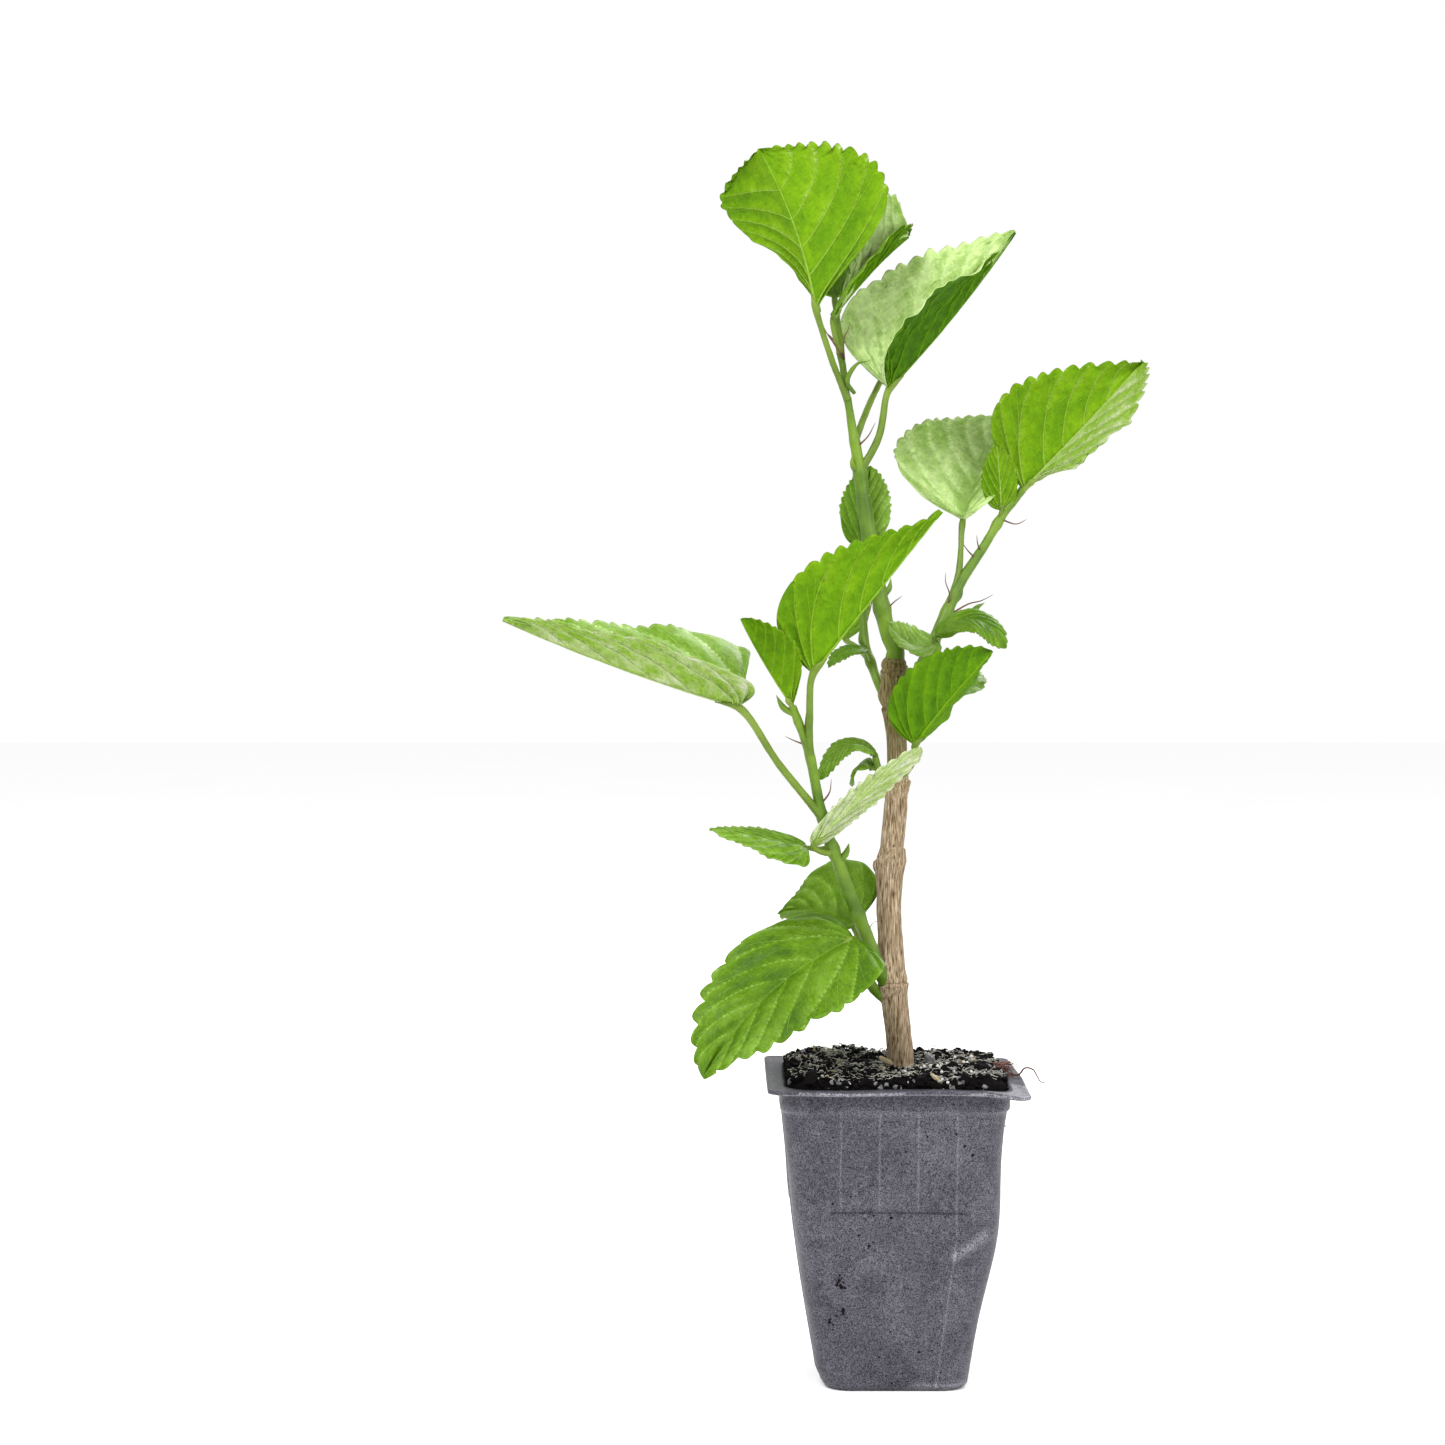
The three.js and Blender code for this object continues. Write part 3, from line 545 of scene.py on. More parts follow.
class Blade:
    """A folded blade about a curved midrib, by the same rule as the solids, with rounded teeth and puckers.

    upper and lower are the tones of its two faces, one for both halves or one for each. toothed is the
    share of the edge where each half's teeth begin, and teeth is how far apart and how high they are.
    """

    def __init__(self, rib, up, left, right, lobe=0.03, toothed=SMOOTH_EDGE, upper=2.5, lower=3.5,
                 crumple=0.5, teeth=None, seed=0):
        base, mid, tip = (vec(p) for p in rib)
        self.a, self.c = base, tip
        self.b = 2 * mid - 0.5 * (base + tip)
        track = self.rib(np.linspace(0, 1, 201)[:, None])
        self.length = np.linalg.norm(np.diff(track, axis=0), axis=1).sum()
        self.up = vec(up)
        self.halves = {-1: left, 1: right}
        self.lobes = by_side(lobe)
        self.tints = {1: by_side(upper), -1: by_side(lower)}
        self.crumple, self.seed = crumple, seed
        self.size = min(1.0, self.length / FULL_LEAF)
        self.half_thick = 0.22 if self.length > SMALL_LEAF else 0.16
        even = np.linspace(0, 1, 1200)
        self.edge_share = even ** 3 * (10 - 15 * even + 6 * even ** 2)
        self.arcs, self.outward, self.notches, self.heights = {}, {}, {}, {}
        rng = np.random.default_rng(seed + 100)
        usual = np.clip(0.08 * self.length, 2.2, 5.6)
        pitch, height = teeth or (usual, 0.32 * usual)
        for side, start in by_side(toothed).items():
            along, out = self.reach(self.edge_share, side)
            steps = np.hypot(np.diff(along), np.diff(out))
            self.arcs[side] = np.concatenate([[0], np.cumsum(steps)])
            ahead, rise = np.gradient(along), np.gradient(out)
            size = np.maximum(np.hypot(ahead, rise), 1e-12)
            self.outward[side] = (-rise / size, ahead / size)
            first = np.interp(start, self.edge_share, self.arcs[side])
            last = self.arcs[side][-1] - TIP_PLAIN * self.length
            count = max(2, round((last - first) / pitch))
            notches = np.linspace(first, last, count + 1)
            notches[1:-1] += rng.uniform(-0.16, 0.16, count - 1) * pitch
            self.notches[side] = notches
            middle = np.interp((notches[:-1] + notches[1:]) / 2, self.arcs[side], out)
            grown = np.minimum(1, np.arange(1, count + 1) / 2.5)
            grown = grown * np.minimum(1, 0.35 + 1.3 * middle / out.max())
            self.heights[side] = height * rng.uniform(0.7, 1.2, count) * grown

    def rib(self, s):
        return (1 - s) ** 2 * self.a + 2 * s * (1 - s) * self.b + s * s * self.c

    def thick(self, r):
        return self.half_thick * (1 - 0.55 * r ** 3)

    def reach(self, t, side):
        """How far along the midrib and out from it the plain edge lies."""
        width, widest, base_sharp, tip_sharp, _ = self.halves[side]
        inner = np.clip(t, 1e-9, 1 - 1e-9)
        share = (inner / widest) ** widest * ((1 - inner) / (1 - widest)) ** (1 - widest)
        share = share ** np.where(inner < widest, base_sharp, tip_sharp)
        back = self.lobes[side] * (t / 0.12) * np.exp(1 - t / 0.12)
        return self.length * (t - back), width * share

    def tooth_height(self, t, side):
        """How far a tooth stands out from the plain edge, below it at a notch."""
        notches, heights = self.notches[side], self.heights[side]
        arc = np.interp(t, self.edge_share, self.arcs[side])
        index = np.clip(np.searchsorted(notches, arc) - 1, 0, len(heights) - 1)
        part = (arc - notches[index]) / (notches[index + 1] - notches[index])
        inside = (part > 0) & (part < 1)
        part = np.clip(part, 0, 1)
        rise = np.where(part < 0.64, np.sin(part / 0.64 * np.pi / 2) ** 0.8,
                        np.cos(np.maximum(part - 0.64, 0) / 0.36 * np.pi / 2) ** 0.8)
        return np.where(inside, heights[index] * (rise - 0.6), 0)

    def spot(self, t, r, side, lift=0.0, crinkle=True):
        """Points at share t along the edge and r from midrib to edge, raised by lift."""
        t, r = np.broadcast_arrays(np.asarray(t, float), np.asarray(r, float))
        fold = math.radians(self.halves[side][4])
        edge, out = self.reach(t, side)
        start = self.length * t ** VEIN_SWEEP
        tooth = self.tooth_height(t, side) * r ** 6
        forward, sideways = (np.interp(t, self.edge_share, part) for part in self.outward[side])
        along = start + (edge - start) * r + tooth * forward
        out = np.maximum(0, out * r + tooth * sideways)
        s = np.clip(along / self.length, 0, 1)[..., None]
        ahead = unit(2 * (1 - s) * (self.b - self.a) + 2 * s * (self.c - self.b))
        centre = self.rib(s) + ahead * (along - self.length * s[..., 0])[..., None]
        normal = unit(self.up - ahead * (ahead @ self.up)[..., None])
        across = np.cross(ahead, normal)
        outward = across * side * math.cos(fold) + normal * math.sin(fold)
        mean_fold = math.radians((self.halves[-1][4] + self.halves[1][4]) / 2)
        edge_lift = normal * math.cos(fold) - across * side * math.sin(fold)
        rib_lift = normal * min(1.6, 1 / math.cos(mean_fold))
        facing = lerp(rib_lift, edge_lift, smooth(r * 6)[..., None])
        height = lift + (self.relief(t, r, side) if crinkle else 0.0)
        return centre + outward * out[..., None] + facing * (height + 0 * t)[..., None]

    def panel(self, t, r):
        """The span between two side veins that a spot lies in, and the share of the way across it."""
        edges = np.stack([vein_track(leave, meet, r) for leave, meet in CELL_EDGES])
        cell = np.clip((edges <= t).sum(0) - 1, 0, len(CELL_EDGES) - 2)[None]
        low = np.take_along_axis(edges, cell, 0)[0]
        span = np.maximum(np.take_along_axis(edges, cell + 1, 0)[0] - low, 1e-3)
        return span, np.clip((t - low) / span, 0, 1), cell[0]

    def flat(self, t, r, side):
        """Spots laid out flat, at a depth of each leaf's own, to read noise at."""
        across = side * r * self.halves[side][0]
        return np.stack([t * self.length, across, np.full_like(t, self.seed * 7.3)], -1)

    def relief(self, t, r, side):
        """Puckers between the veins, a dished half, a wavy edge and crumples."""
        width = self.halves[side][0]
        span, part, cell = self.panel(t, r)
        fade = smooth(r * 4) * (1 - 0.7 * smooth((r - 0.7) / 0.3))
        puff = 0.07 * self.length * np.minimum(span, 0.22) * np.sin(np.pi * part) ** 0.6 * fade
        rows = r * width / 4.2 + 0.37 * cell + 0.15 * np.sin(3.0 * part + cell)
        pillow = 0.32 * np.abs(np.sin(np.pi * rows)) ** 0.7 * np.sin(np.pi * part) ** 0.7 * fade
        wave = 0.03 * width * r ** 3 * smooth(t * 5) * (
            np.sin(2 * np.pi * (2.6 * t + 0.37 * self.seed + side * 0.2))
            + 0.5 * np.sin(2 * np.pi * (5.3 * t + 0.61 * self.seed - side * 0.3)))
        dish = 0.16 * width * r * (1 - r)
        flat = self.flat(t, r, side)
        creases = 0.5 - np.abs(noise(flat, 7.0, self.seed)) + 0.5 * noise(flat, 3.0, self.seed + 5)
        fine = self.crumple * creases * smooth(r * 4) + 0.07 * noise(flat, 1.4, self.seed + 9)
        return puff + wave + dish + (fine + pillow) * min(1, width / 20)

    def skins(self, t, r, side, face, rng):
        """The tone of each face of the blade: paler along the veins and at the edge, mottled in between,
        with painted light and shade across each span between side veins.
        """
        _, part, cell = self.panel(t, r)
        flat = self.flat(t, r, side)
        tone = self.tints[face][side] + 0.9 * noise(flat, 11, self.seed + 40)
        # Painted light and shade: each span between side veins is paler on its side towards the base and
        # darker towards the tip, as if its pucker were lit from one side.
        tone = tone + 0.6 * noise(flat, 3.5, self.seed + 41) + 1.8 * (0.5 - part) * smooth(r * 5)
        halo = (1 - np.sin(np.pi * part)) ** np.where(part < 0.5, 5, 2.5)
        tone = tone - 0.4 + (1.7 if face > 0 else 1.5) * halo * smooth(r * 5) * (0.6 + 0.4 * (cell > 1))
        tone = tone + 0.8 * smooth((r - 0.93) / 0.07)
        tone = tone + self.crumple * 0.5 * noise(flat, 1.8, self.seed + 42)
        tone = tone + rng.normal(0, 0.14, tone.shape)
        return shade(tone) if face > 0 else shade(tone) + TONES


def blade_mesh(store, blade, steps, cell, cells):
    """Upper and lower skins on one grid of rays, joined around the edge."""
    arc = (blade.arcs[-1] / blade.arcs[-1][-1] + blade.arcs[1] / blade.arcs[1][-1]) / 2
    longest = max(blade.arcs[-1][-1], blade.arcs[1][-1])
    rays = int(np.clip(longest * 1.6, 70, 170))
    even = np.linspace(0.003, 0.9985, rays)
    t = np.interp(even, 0.6 * arc + 0.4 * blade.edge_share, blade.edge_share)[:, None]
    out = np.linspace(0, 1, steps + 1)[None, 1:] ** 0.88
    zero = np.zeros((1, 1))
    sheets = []
    for face in (1, -1):
        left = blade.spot(t, out[:, ::-1], -1, face * blade.thick(out[:, ::-1]))
        lift = face * blade.thick(zero)
        rib = 0.5 * (blade.spot(t, zero, -1, lift) + blade.spot(t, zero, 1, lift))
        right = blade.spot(t, out, 1, face * blade.thick(out))
        sheets.append(np.concatenate([left, rib, right], 1))
    columns = 2 * steps + 1
    quads = ring_quads(rays, columns, closed=False)
    below = quads[:, ::-1] + rays * columns
    edge = np.concatenate([
        np.arange(columns), np.arange(1, rays) * columns + columns - 1,
        np.arange(columns - 2, -1, -1) + (rays - 1) * columns, np.arange(rays - 2, 0, -1) * columns])
    following = np.roll(edge, -1)
    rim = np.stack([edge, edge + rays * columns, following + rays * columns, following], -1)
    rng = np.random.default_rng(blade.seed + 500)
    middle_t = (t[:-1] + t[1:]) / 2
    middle_r = (np.concatenate([[0], out[0, :-1]]) + out[0]) / 2
    middle_t, middle_r = np.broadcast_arrays(middle_t, middle_r[None])
    skin = []
    for face in (1, -1):
        left = blade.skins(middle_t, middle_r, -1, face, rng)[:, ::-1]
        right = blade.skins(middle_t, middle_r, 1, face, rng)
        skin.append(np.concatenate([left, right], 1).ravel())
    skin.append(np.full(len(rim), shade(blade.tints[1][1] + 1.5)))
    places = [((2 * cell + k) % cells, (2 * cell + k) // cells) for k in (0, 1)]
    spread = np.concatenate([
        grid_map(rays, columns - 1, places[0], cells),
        grid_map(rays, columns - 1, places[1], cells)[:, ::-1],
        strip_map(len(rim), places[1], cells)])
    store.add(np.concatenate([s.reshape(-1, 3) for s in sheets]), np.concatenate([quads, below, rim]),
              skin=np.concatenate(skin), quad_map=spread)


def vein_line(store, blade, side, t, r, wide, narrow, paler=1.8, sides=6):
    """One vein along shares t and r of a half: a ridge below and a fine line on top, both so much paler."""
    width = lerp(wide, narrow, np.linspace(0, 1, len(t)) ** 0.8)
    low = blade.thick(r) + 0.65 * width
    high = blade.thick(r) + 0.12 * width + 0.03
    track = blade.spot(t, r, side, (high - low) / 2)
    if np.linalg.norm(np.diff(track, axis=0), axis=1).sum() < 1.5:
        return
    ahead = unit(np.gradient(track, axis=0))
    up = unit(blade.spot(t, r, side, 1.0, False) - blade.spot(t, r, side, 0.0, False))
    across = unit(np.cross(ahead, up))
    up = np.cross(across, ahead)
    turn = np.linspace(0, 2 * np.pi, sides, endpoint=False)[None, :, None] + np.pi / 2
    ring = track[:, None] + (across * width[:, None])[:, None] * np.cos(turn) \
        + (up * ((high + low) / 2)[:, None])[:, None] * np.sin(turn)
    grid, tris = end_caps(len(t), sides, ring.reshape(-1, 3), track)
    upper = shade(min(7, blade.tints[1][side] + 0.9 * paler))
    lower = shade(min(7, blade.tints[-1][side] + 0.85 * paler))
    skin = np.where(np.isin(np.arange(sides), (0, sides - 1)), upper, lower + TONES)
    store.add(grid, ring_quads(len(t), sides), tris, np.tile(skin, len(t) - 1), tri_skin=lower + TONES)


def veins(store, blade, full):
    """Midrib, palmate and side veins that sweep forward, their outer forks and the cross veins."""
    size = blade.size
    s = np.linspace(0.001, 0.97, 36)
    vein_line(store, blade, 1, s, np.zeros_like(s), 0.72 * size, 0.16, 2.4, 8)
    for side in (-1, 1):
        before = 0.0
        for leave, meet, strength in SIDE_VEINS:
            r = np.linspace(0.0, 0.95, 22)
            vein_line(store, blade, side, vein_track(leave, meet, r), r, 0.5 * strength * size, 0.13, 2.2)
            forks = (3 if meet - before > 0.2 else 1) if full else 0
            for k in range(forks):
                from_r = lerp(0.3, 0.72, (k + 0.5) / forks)
                at = vein_track(leave, meet, from_r)
                to = before + (meet - before) * (k + 1) / (forks + 1)
                part = np.linspace(0, 1, 12)
                bend = at + (to - at) * part ** 0.8
                vein_line(store, blade, side, bend, lerp(from_r, 0.94, part), 0.26 * size, 0.09)
            before = meet
        if full:
            cross_veins(store, blade, side, size)


def cross_veins(store, blade, side, size):
    """Fine veins that run from one side vein to the next, at uneven stretches."""
    for i, (low, high) in enumerate(zip(CELL_EDGES[1:], CELL_EDGES[2:])):
        rows = max(3, round(blade.halves[side][0] / 4.2))
        for k in range(rows):
            r0 = (k + 1 - 0.37 * i % 1) / rows + 0.03 * math.sin(7.1 * i + 3.1 * k + blade.seed + side)
            part = np.linspace(0, 1, 8)
            r = r0 + 0.03 * np.sin(np.pi * part * 2 + i) + 0.03 * (part - 0.5)
            if r.min() < 0.12 or r.max() > 0.93:
                continue
            t = np.clip(lerp(vein_track(*low, r), vein_track(*high, r), part), 0.01, 0.985)
            vein_line(store, blade, side, t, r, 0.13 * size, 0.1 * size, 1.2)


def tooth_tips(store, blade):
    """The brown point of each tooth."""
    for side in (-1, 1):
        notches = blade.notches[side]
        for a, b in zip(notches, notches[1:]):
            arc = a + (b - a) * np.linspace(0.42, 0.82, 5)
            t = np.interp(arc, blade.arcs[side], blade.edge_share)
            track = blade.spot(t, np.ones_like(t), side)
            tube(store, list(track), tip_radius, 5, 6)


def tip_radius(share):
    return 0.04 + 0.09 * math.sin(math.pi * min(1, share * 1.1)) ** 0.7


def petiole_size(radius):
    """Slender, a little swollen where it leaves the stem and where it meets the blade, thin at its end."""
    def size(s):
        swell = 0.28 * math.exp(-s * 14) + 0.2 * math.exp(-((s - 0.84) / 0.07) ** 2)
        return radius * (1 - 0.22 * s + swell) * (1 - 0.65 * smooth((s - 0.9) / 0.1))
    return size


# The plant's limbs, as in the part's source

TRUNK_PATH = [
    (TRUNK_X, 0, SOIL_TOP + CLEAR), (TRUNK_X, 0, 112), (0.1, 0, 137), (-1.3, 0, 163), (-0.6, 0, 179),
    (1.1, 0, 200), (1.4, 0, 219), (-0.4, 0, 236), (0.7, 0, 249)]
TRUNK_RADII = [
    (107, 4.9), (109, 4.6), (112, 4.4), (132, 4.3), (137, 5.1), (141, 4.5), (160, 4.2), (174, 4.4),
    (179, 4.9), (183, 4.0), (200, 3.8), (204, 4.1), (208, 3.6), (228, 3.3), (235, 3.8), (241, 3.7),
    (246, 4.4), (250, 4.2)]
LEADER_PATH = go_on(TRUNK_PATH, [
    (-1.2, 1, 256), (-3.7, 2, 266), (-6.4, 4, 281), (-8.4, 6, 293), (-10, 7.6, 305)])
LEFT_PATH = [
    (0, 0, 134), (-4.6, -4, 140.5), (-9.1, -10, 152), (-12.7, -14, 161), (-17.3, -18, 172.6),
    (-19.3, -19.9, 178)]
RIGHT_PATH = [(0, 0, 228), (3.7, 4, 234), (13.6, 12, 251.7), (18.4, 15.4, 262)]

# Foliage masses: stem path, its radius, and leaves with their petioles.
# A half blade is its width, where it is widest, how sharply it narrows to base and tip, and its fold.
# Upper and lower are the tones of a blade's faces, from 0, deep green, to 8, pale. They match how each
# leaf shows from the front, so they hold some of its light.

def leaf_spec(petiole, rib, up, left, right=None, **more):
    """A leaf: its petiole, its midrib's three points, where its upper face looks, and its half blades."""
    return dict(petiole=petiole, rib=rib, up=up, left=left, right=right or left, **more)


MASSES = {
    "foliage_top": dict(
        stem=go_on(LEADER_PATH, [(-11.2, 8.5, 314), (-14.5, 10, 334), (-17.7, 10, 353), (-20.5, 9, 367.5)]),
        radius=lambda s: 2.6 - 1.6 * min(1, s * 1.6),
        leaves=[
            leaf_spec([(-15.3, 10, 339), (-21, 5, 352)], [(-26.5, 0, 368), (-34, 3, 398), (-46.5, 8, 426)],
                      (0.25, 1, -0.15), (35.5, 0.58, 3.0, 2.2, 14), (30, 0.84, 2.0, 0.9, 42), lobe=0,
                      toothed=(0.5, 0.8), teeth=(4.4, 2.4), upper=3, lower=4.2),
            leaf_spec([(-18, 10, 355)], [(-20.5, 9, 367.5), (-6, 16, 385), (6.9, 24, 397.5)],
                      (-0.11, -0.78, 0.62), (19, 0.8, 1.6, 0.35, 69), (17, 0.55, 1.4, 1.0, 67), lobe=0,
                      teeth=(3.6, 2.0), radius=1.1, crumple=1.3, upper=(7.1, 3), lower=2),
            leaf_spec([(-11.4, 8.6, 313), (-4.5, 10, 326)],
                      [(-1, 12, 343), (22.5, 17, 369.5), (44.5, 22, 399)], (-0.71, -0.41, 0.575),
                      (33.5, 0.28, 1.6, 1.2, 45), (29, 0.3, 1.3, 3.2, 45), toothed=(0.3, 0.8),
                      teeth=(5.6, 2.2), radius=1.4, crumple=1.3, upper=7.6, lower=0.7),
            leaf_spec([(-13, 9.4, 324), (-6, 24, 341)], [(4.5, 38, 361), (12.5, 52, 377), (20, 62, 391)],
                      (-0.1, -0.7, 0.7), (15, 0.4, 1.4, 1.4, 20)),
            leaf_spec([(-16.4, 10.1, 346), (-17.5, 19, 358)],
                      [(-19, 31, 377), (-22.5, 45, 392), (-25, 58, 405)], (0.1, -0.7, 0.7),
                      (13, 0.4, 1.4, 1.4, 16)),
        ]),
    "foliage_right": dict(
        stem=go_on(RIGHT_PATH, [(25.6, 21, 276.5), (34, 26, 289), (40.8, 29, 300), (48, 30, 309)]),
        radius=taper(2.1, 1.3),
        leaves=[
            leaf_spec([(19.5, 16.4, 265), (24.4, 22, 279)],
                      [(26.5, 30, 298), (33, 40, 316), (43.5, 52, 336)], (-0.2, -1, 0.45),
                      (31, 0.45, 2.0, 1.7, 15), (13, 0.4, 2.0, 1.6, 25), lobe=0, crumple=1.1, upper=7.1,
                      lower=4),
            leaf_spec([(44, 29.5, 304)], [(48, 30, 309), (67, 26, 329), (89, 18, 353)], (-0.44, 0.8, 0.41),
                      (30, 0.6, 2.3, 1.3, 30), (28.2, 0.35, 1.5, 1.5, 37), lobe=0, teeth=(5.2, 2.4), upper=3,
                      lower=(6.2, 4.3)),
            leaf_spec([(39, 28.4, 297), (39.5, 28, 299)],
                      [(40, 28, 301.5), (39, 24, 313.5), (37.5, 20, 324.5)], (0, 0.9, 0.3),
                      (6.5, 0.4, 1.4, 1.4, 12), radius=0.9, upper=3, lower=4.3),
            leaf_spec([(38.6, 28.2, 296.5), (48, 42, 309)],
                      [(59, 54, 323), (67.5, 68, 335), (75.5, 82, 348.5)], (0, -0.7, 0.7),
                      (16, 0.4, 1.4, 1.4, 18)),
        ]),
    "foliage_left": dict(
        stem=go_on(LEFT_PATH, [
            (-21.6, -22, 183.7), (-25.4, -25, 195.7), (-30.2, -28, 217.8), (-35.5, -30, 232.5)]),
        radius=taper(2.1, 1.3),
        leaves=[
            leaf_spec([(-21.6, -22, 183.7), (-24.2, -25.5, 183)],
                      [(-28.6, -29, 185.5), (-13.2, -31, 201.2), (7.8, -28, 218.8)], (-0.04, 1, 0.04),
                      (5.8, 0.6, 0.9, 0.8, 30), (4.6, 0.4, 0.9, 1.0, 30), radius=1.1, crumple=1, upper=6,
                      lower=8),
            leaf_spec([(-21.8, -22.2, 184.5), (-27, -22.5, 184)],
                      [(-30.8, -25, 185), (-46.4, -32, 188.6), (-63.5, -40, 191.5)], (0, -0.6, 0.9),
                      (12, 0.26, 1.2, 1.5, -5), (4.5, 0.4, 1.4, 1.4, 10), radius=1.0, crumple=1, upper=3.4,
                      lower=4),
            leaf_spec([(-25.3, -24.9, 195), (-40, -31.5, 213)],
                      [(-53.5, -38, 232.5), (-92, -44, 245), (-131.5, -50, 261)], (0.34, 0, 0.94),
                      (26, 0.36, 1.7, 1.3, 26), (31, 0.18, 1.0, 1.2, 40), lobe=0.1, radius=1.4, upper=4.9,
                      lower=6.9),
            leaf_spec([(-29.6, -27.7, 215), (-29.8, -31.5, 228)],
                      [(-29, -36, 243.5), (-8, -41, 270), (13.5, -45, 297)], (-0.55, 0.7, 0.44),
                      (24, 0.35, 1.4, 1.4, 45), (24.5, 0.3, 1.5, 1.9, 45), lobe=0.02, radius=1.3, upper=3,
                      lower=(3.2, 3.7)),
            leaf_spec([(-33.5, -29.3, 227)], [(-35.5, -30, 232.5), (-45, -35, 247), (-53, -40, 261.5)],
                      (0.5, 0.8, 0.1), (13, 0.5, 2.8, 1.3, 10), (10, 0.5, 2.2, 1.3, 60), radius=1.0, upper=3,
                      lower=3.6),
        ]),
    "foliage_low": dict(
        stem=[(-1, 0, 129), (-6, -2.5, 133.5), (-10.5, -8.5, 142.5), (-14.5, -15, 152)],
        radius=taper(1.6, 1.3),
        leaves=[
            leaf_spec([(-12.6, -11.8, 147.5)], [(-14.5, -15, 153), (-44, -29, 135), (-65, -42, 108.5)],
                      (-0.3, -0.8, 0.6), (26, 0.33, 1.3, 1.4, 10), (20.5, 0.42, 1.6, 1.3, 12),
                      lobe=(0.1, 0.05), toothed=(0.26, 0.42), teeth=(7.6, 2.6), radius=1.3, upper=2.9,
                      lower=4),
            leaf_spec([(-7.2, -4, 136), (-11, -2, 145)], [(-13.5, -3, 156), (-27, 4, 161), (-39, 12, 159)],
                      (0.3, -0.9, 0.6), (12, 0.4, 1.4, 1.4, 30), (23.5, 0.37, 1.1, 2.7, 10), lobe=0.05,
                      toothed=0.7, upper=(2.6, 3.0), lower=4),
            leaf_spec([(-6.8, -3.4, 135), (-8.5, 4, 139.5), (-12, 16, 142)],
                      [(-18, 30, 137), (-31, 50, 134), (-44.5, 70, 122.5)], (-0.2, -0.4, 1),
                      (20, 0.4, 1.4, 1.4, 14)),
        ]),
    "foliage_spur": dict(
        stem=[(0, 0, 232), (-3.4, 2, 237), (-6.6, 6.4, 245), (-8.9, 10, 253.5), (-9.8, 13, 265.7),
              (-10, 16, 287.5)],
        radius=taper(1.8, 0.9),
        leaves=[
            leaf_spec([(-9.9, 15.2, 281)], [(-10, 16, 287.5), (-8.5, 21, 303), (-6.5, 26, 317)],
                      (0, -1, 0.2), (9.5, 0.4, 1.3, 1.3, 20), radius=0.9, upper=(2.4, 3.8), lower=3),
            leaf_spec([(-7.2, 7.2, 247)], [(-9, 3, 251.5), (-16.5, 0, 251), (-22.5, -4, 245.5)],
                      (0, -0.5, 1), (4, 0.4, 1.3, 1.3, 0), radius=0.8),
            leaf_spec([(-7.6, 7.8, 248.5), (-11, 15, 252)],
                      [(-15, 26, 255.5), (-20.5, 42, 268), (-24, 58, 281.5)], (0, -0.7, 0.7),
                      (14, 0.4, 1.4, 1.4, 18)),
        ]),
    "foliage_side": dict(
        stem=[(0, 0, 204), (-4.6, -3, 209), (-6.5, -6, 215)],
        radius=taper(1.2, 1.0),
        leaves=[
            leaf_spec([(-6, -5, 213.5)], [(-6.5, -6, 216), (-17, -8, 218.5), (-25.5, -10, 207)],
                      (-0.1, -0.6, 1), (5, 0.5, 1.2, 1.2, 0), (4.5, 0.5, 1.2, 1.2, 0), radius=0.9, upper=3.5,
                      lower=4),
            leaf_spec([(-5.2, -3.6, 210.5)], [(-7.5, -4, 211), (-11, -1, 212), (-14.5, 4, 205)],
                      (0, -0.6, 1), (8, 0.5, 1.2, 1.2, 0), (4, 0.5, 1.2, 1.2, 0), radius=0.8, upper=3,
                      lower=3),
        ]),
    "foliage_front": dict(
        stem=None,
        leaves=[
            leaf_spec([(1, 0, 206), (5.5, -5, 211), (7, -11, 216)],
                      [(6.5, -14, 219), (17.5, -18, 234), (32.5, -22, 251)], (-0.45, 0.75, 0.4),
                      (18, 0.4, 1.3, 1.3, 36), (17.5, 0.42, 1.15, 1.15, 36), upper=2, lower=2.3),
        ]),
    "foliage_fork": dict(
        stem=[(1, 0, 221), (7, 0.5, 226), (10.5, -4, 240), (15, -6, 254.5)],
        radius=taper(1.4, 1.0),
        leaves=[
            leaf_spec([(13.4, -5.2, 250)], [(15, -6, 254.5), (6, -8, 253.5), (-2.5, -10, 261)],
                      (0.1, -0.6, 0.8), (8, 0.4, 1.2, 1.2, 10), (9, 0.45, 1.2, 1.2, 10), radius=0.9, upper=5,
                      lower=4),
            leaf_spec([(13.4, -5.2, 250)], [(14.5, -6, 256.5), (27.5, -8, 262), (38, -9, 252)],
                      (0.1, -0.6, 1), (7, 0.5, 1.2, 1.2, 0), (9, 0.5, 1.2, 1.2, 0), radius=0.9, upper=2.8,
                      lower=3),
            leaf_spec([(7, 0.2, 226.5), (12, 14, 231)], [(17, 30, 235), (24, 44, 241), (31, 60, 245.5)],
                      (0.2, -0.5, 1), (13, 0.4, 1.4, 1.4, 14)),
        ]),
}


def stem_relief(ring, out):
    """Fine lengthwise ribs and a little unevenness of a green stem."""
    flow = ring * np.array([1, 1, 0.12]) + out * 1.4
    return 0.07 * noise(flow, 0.7, 3) + 0.08 * noise(ring, 4.0, 4)


def knotted(path, radius, nodes):
    """A stem's radius, swollen at the shares where petioles leave it."""
    shares = [Path(path).nearest(p) for p in nodes]
    length = Path(path).length
    return lambda s: radius(s) * (1 + sum(0.16 * bell((s - k) * length, 2.2) for k in shares))


def sunk(path, depth=1.5):
    """The path, begun a little deeper in the limb it grows from."""
    first, second = vec(path[0]), vec(path[1])
    return [first - unit(second - first) * depth, *path]


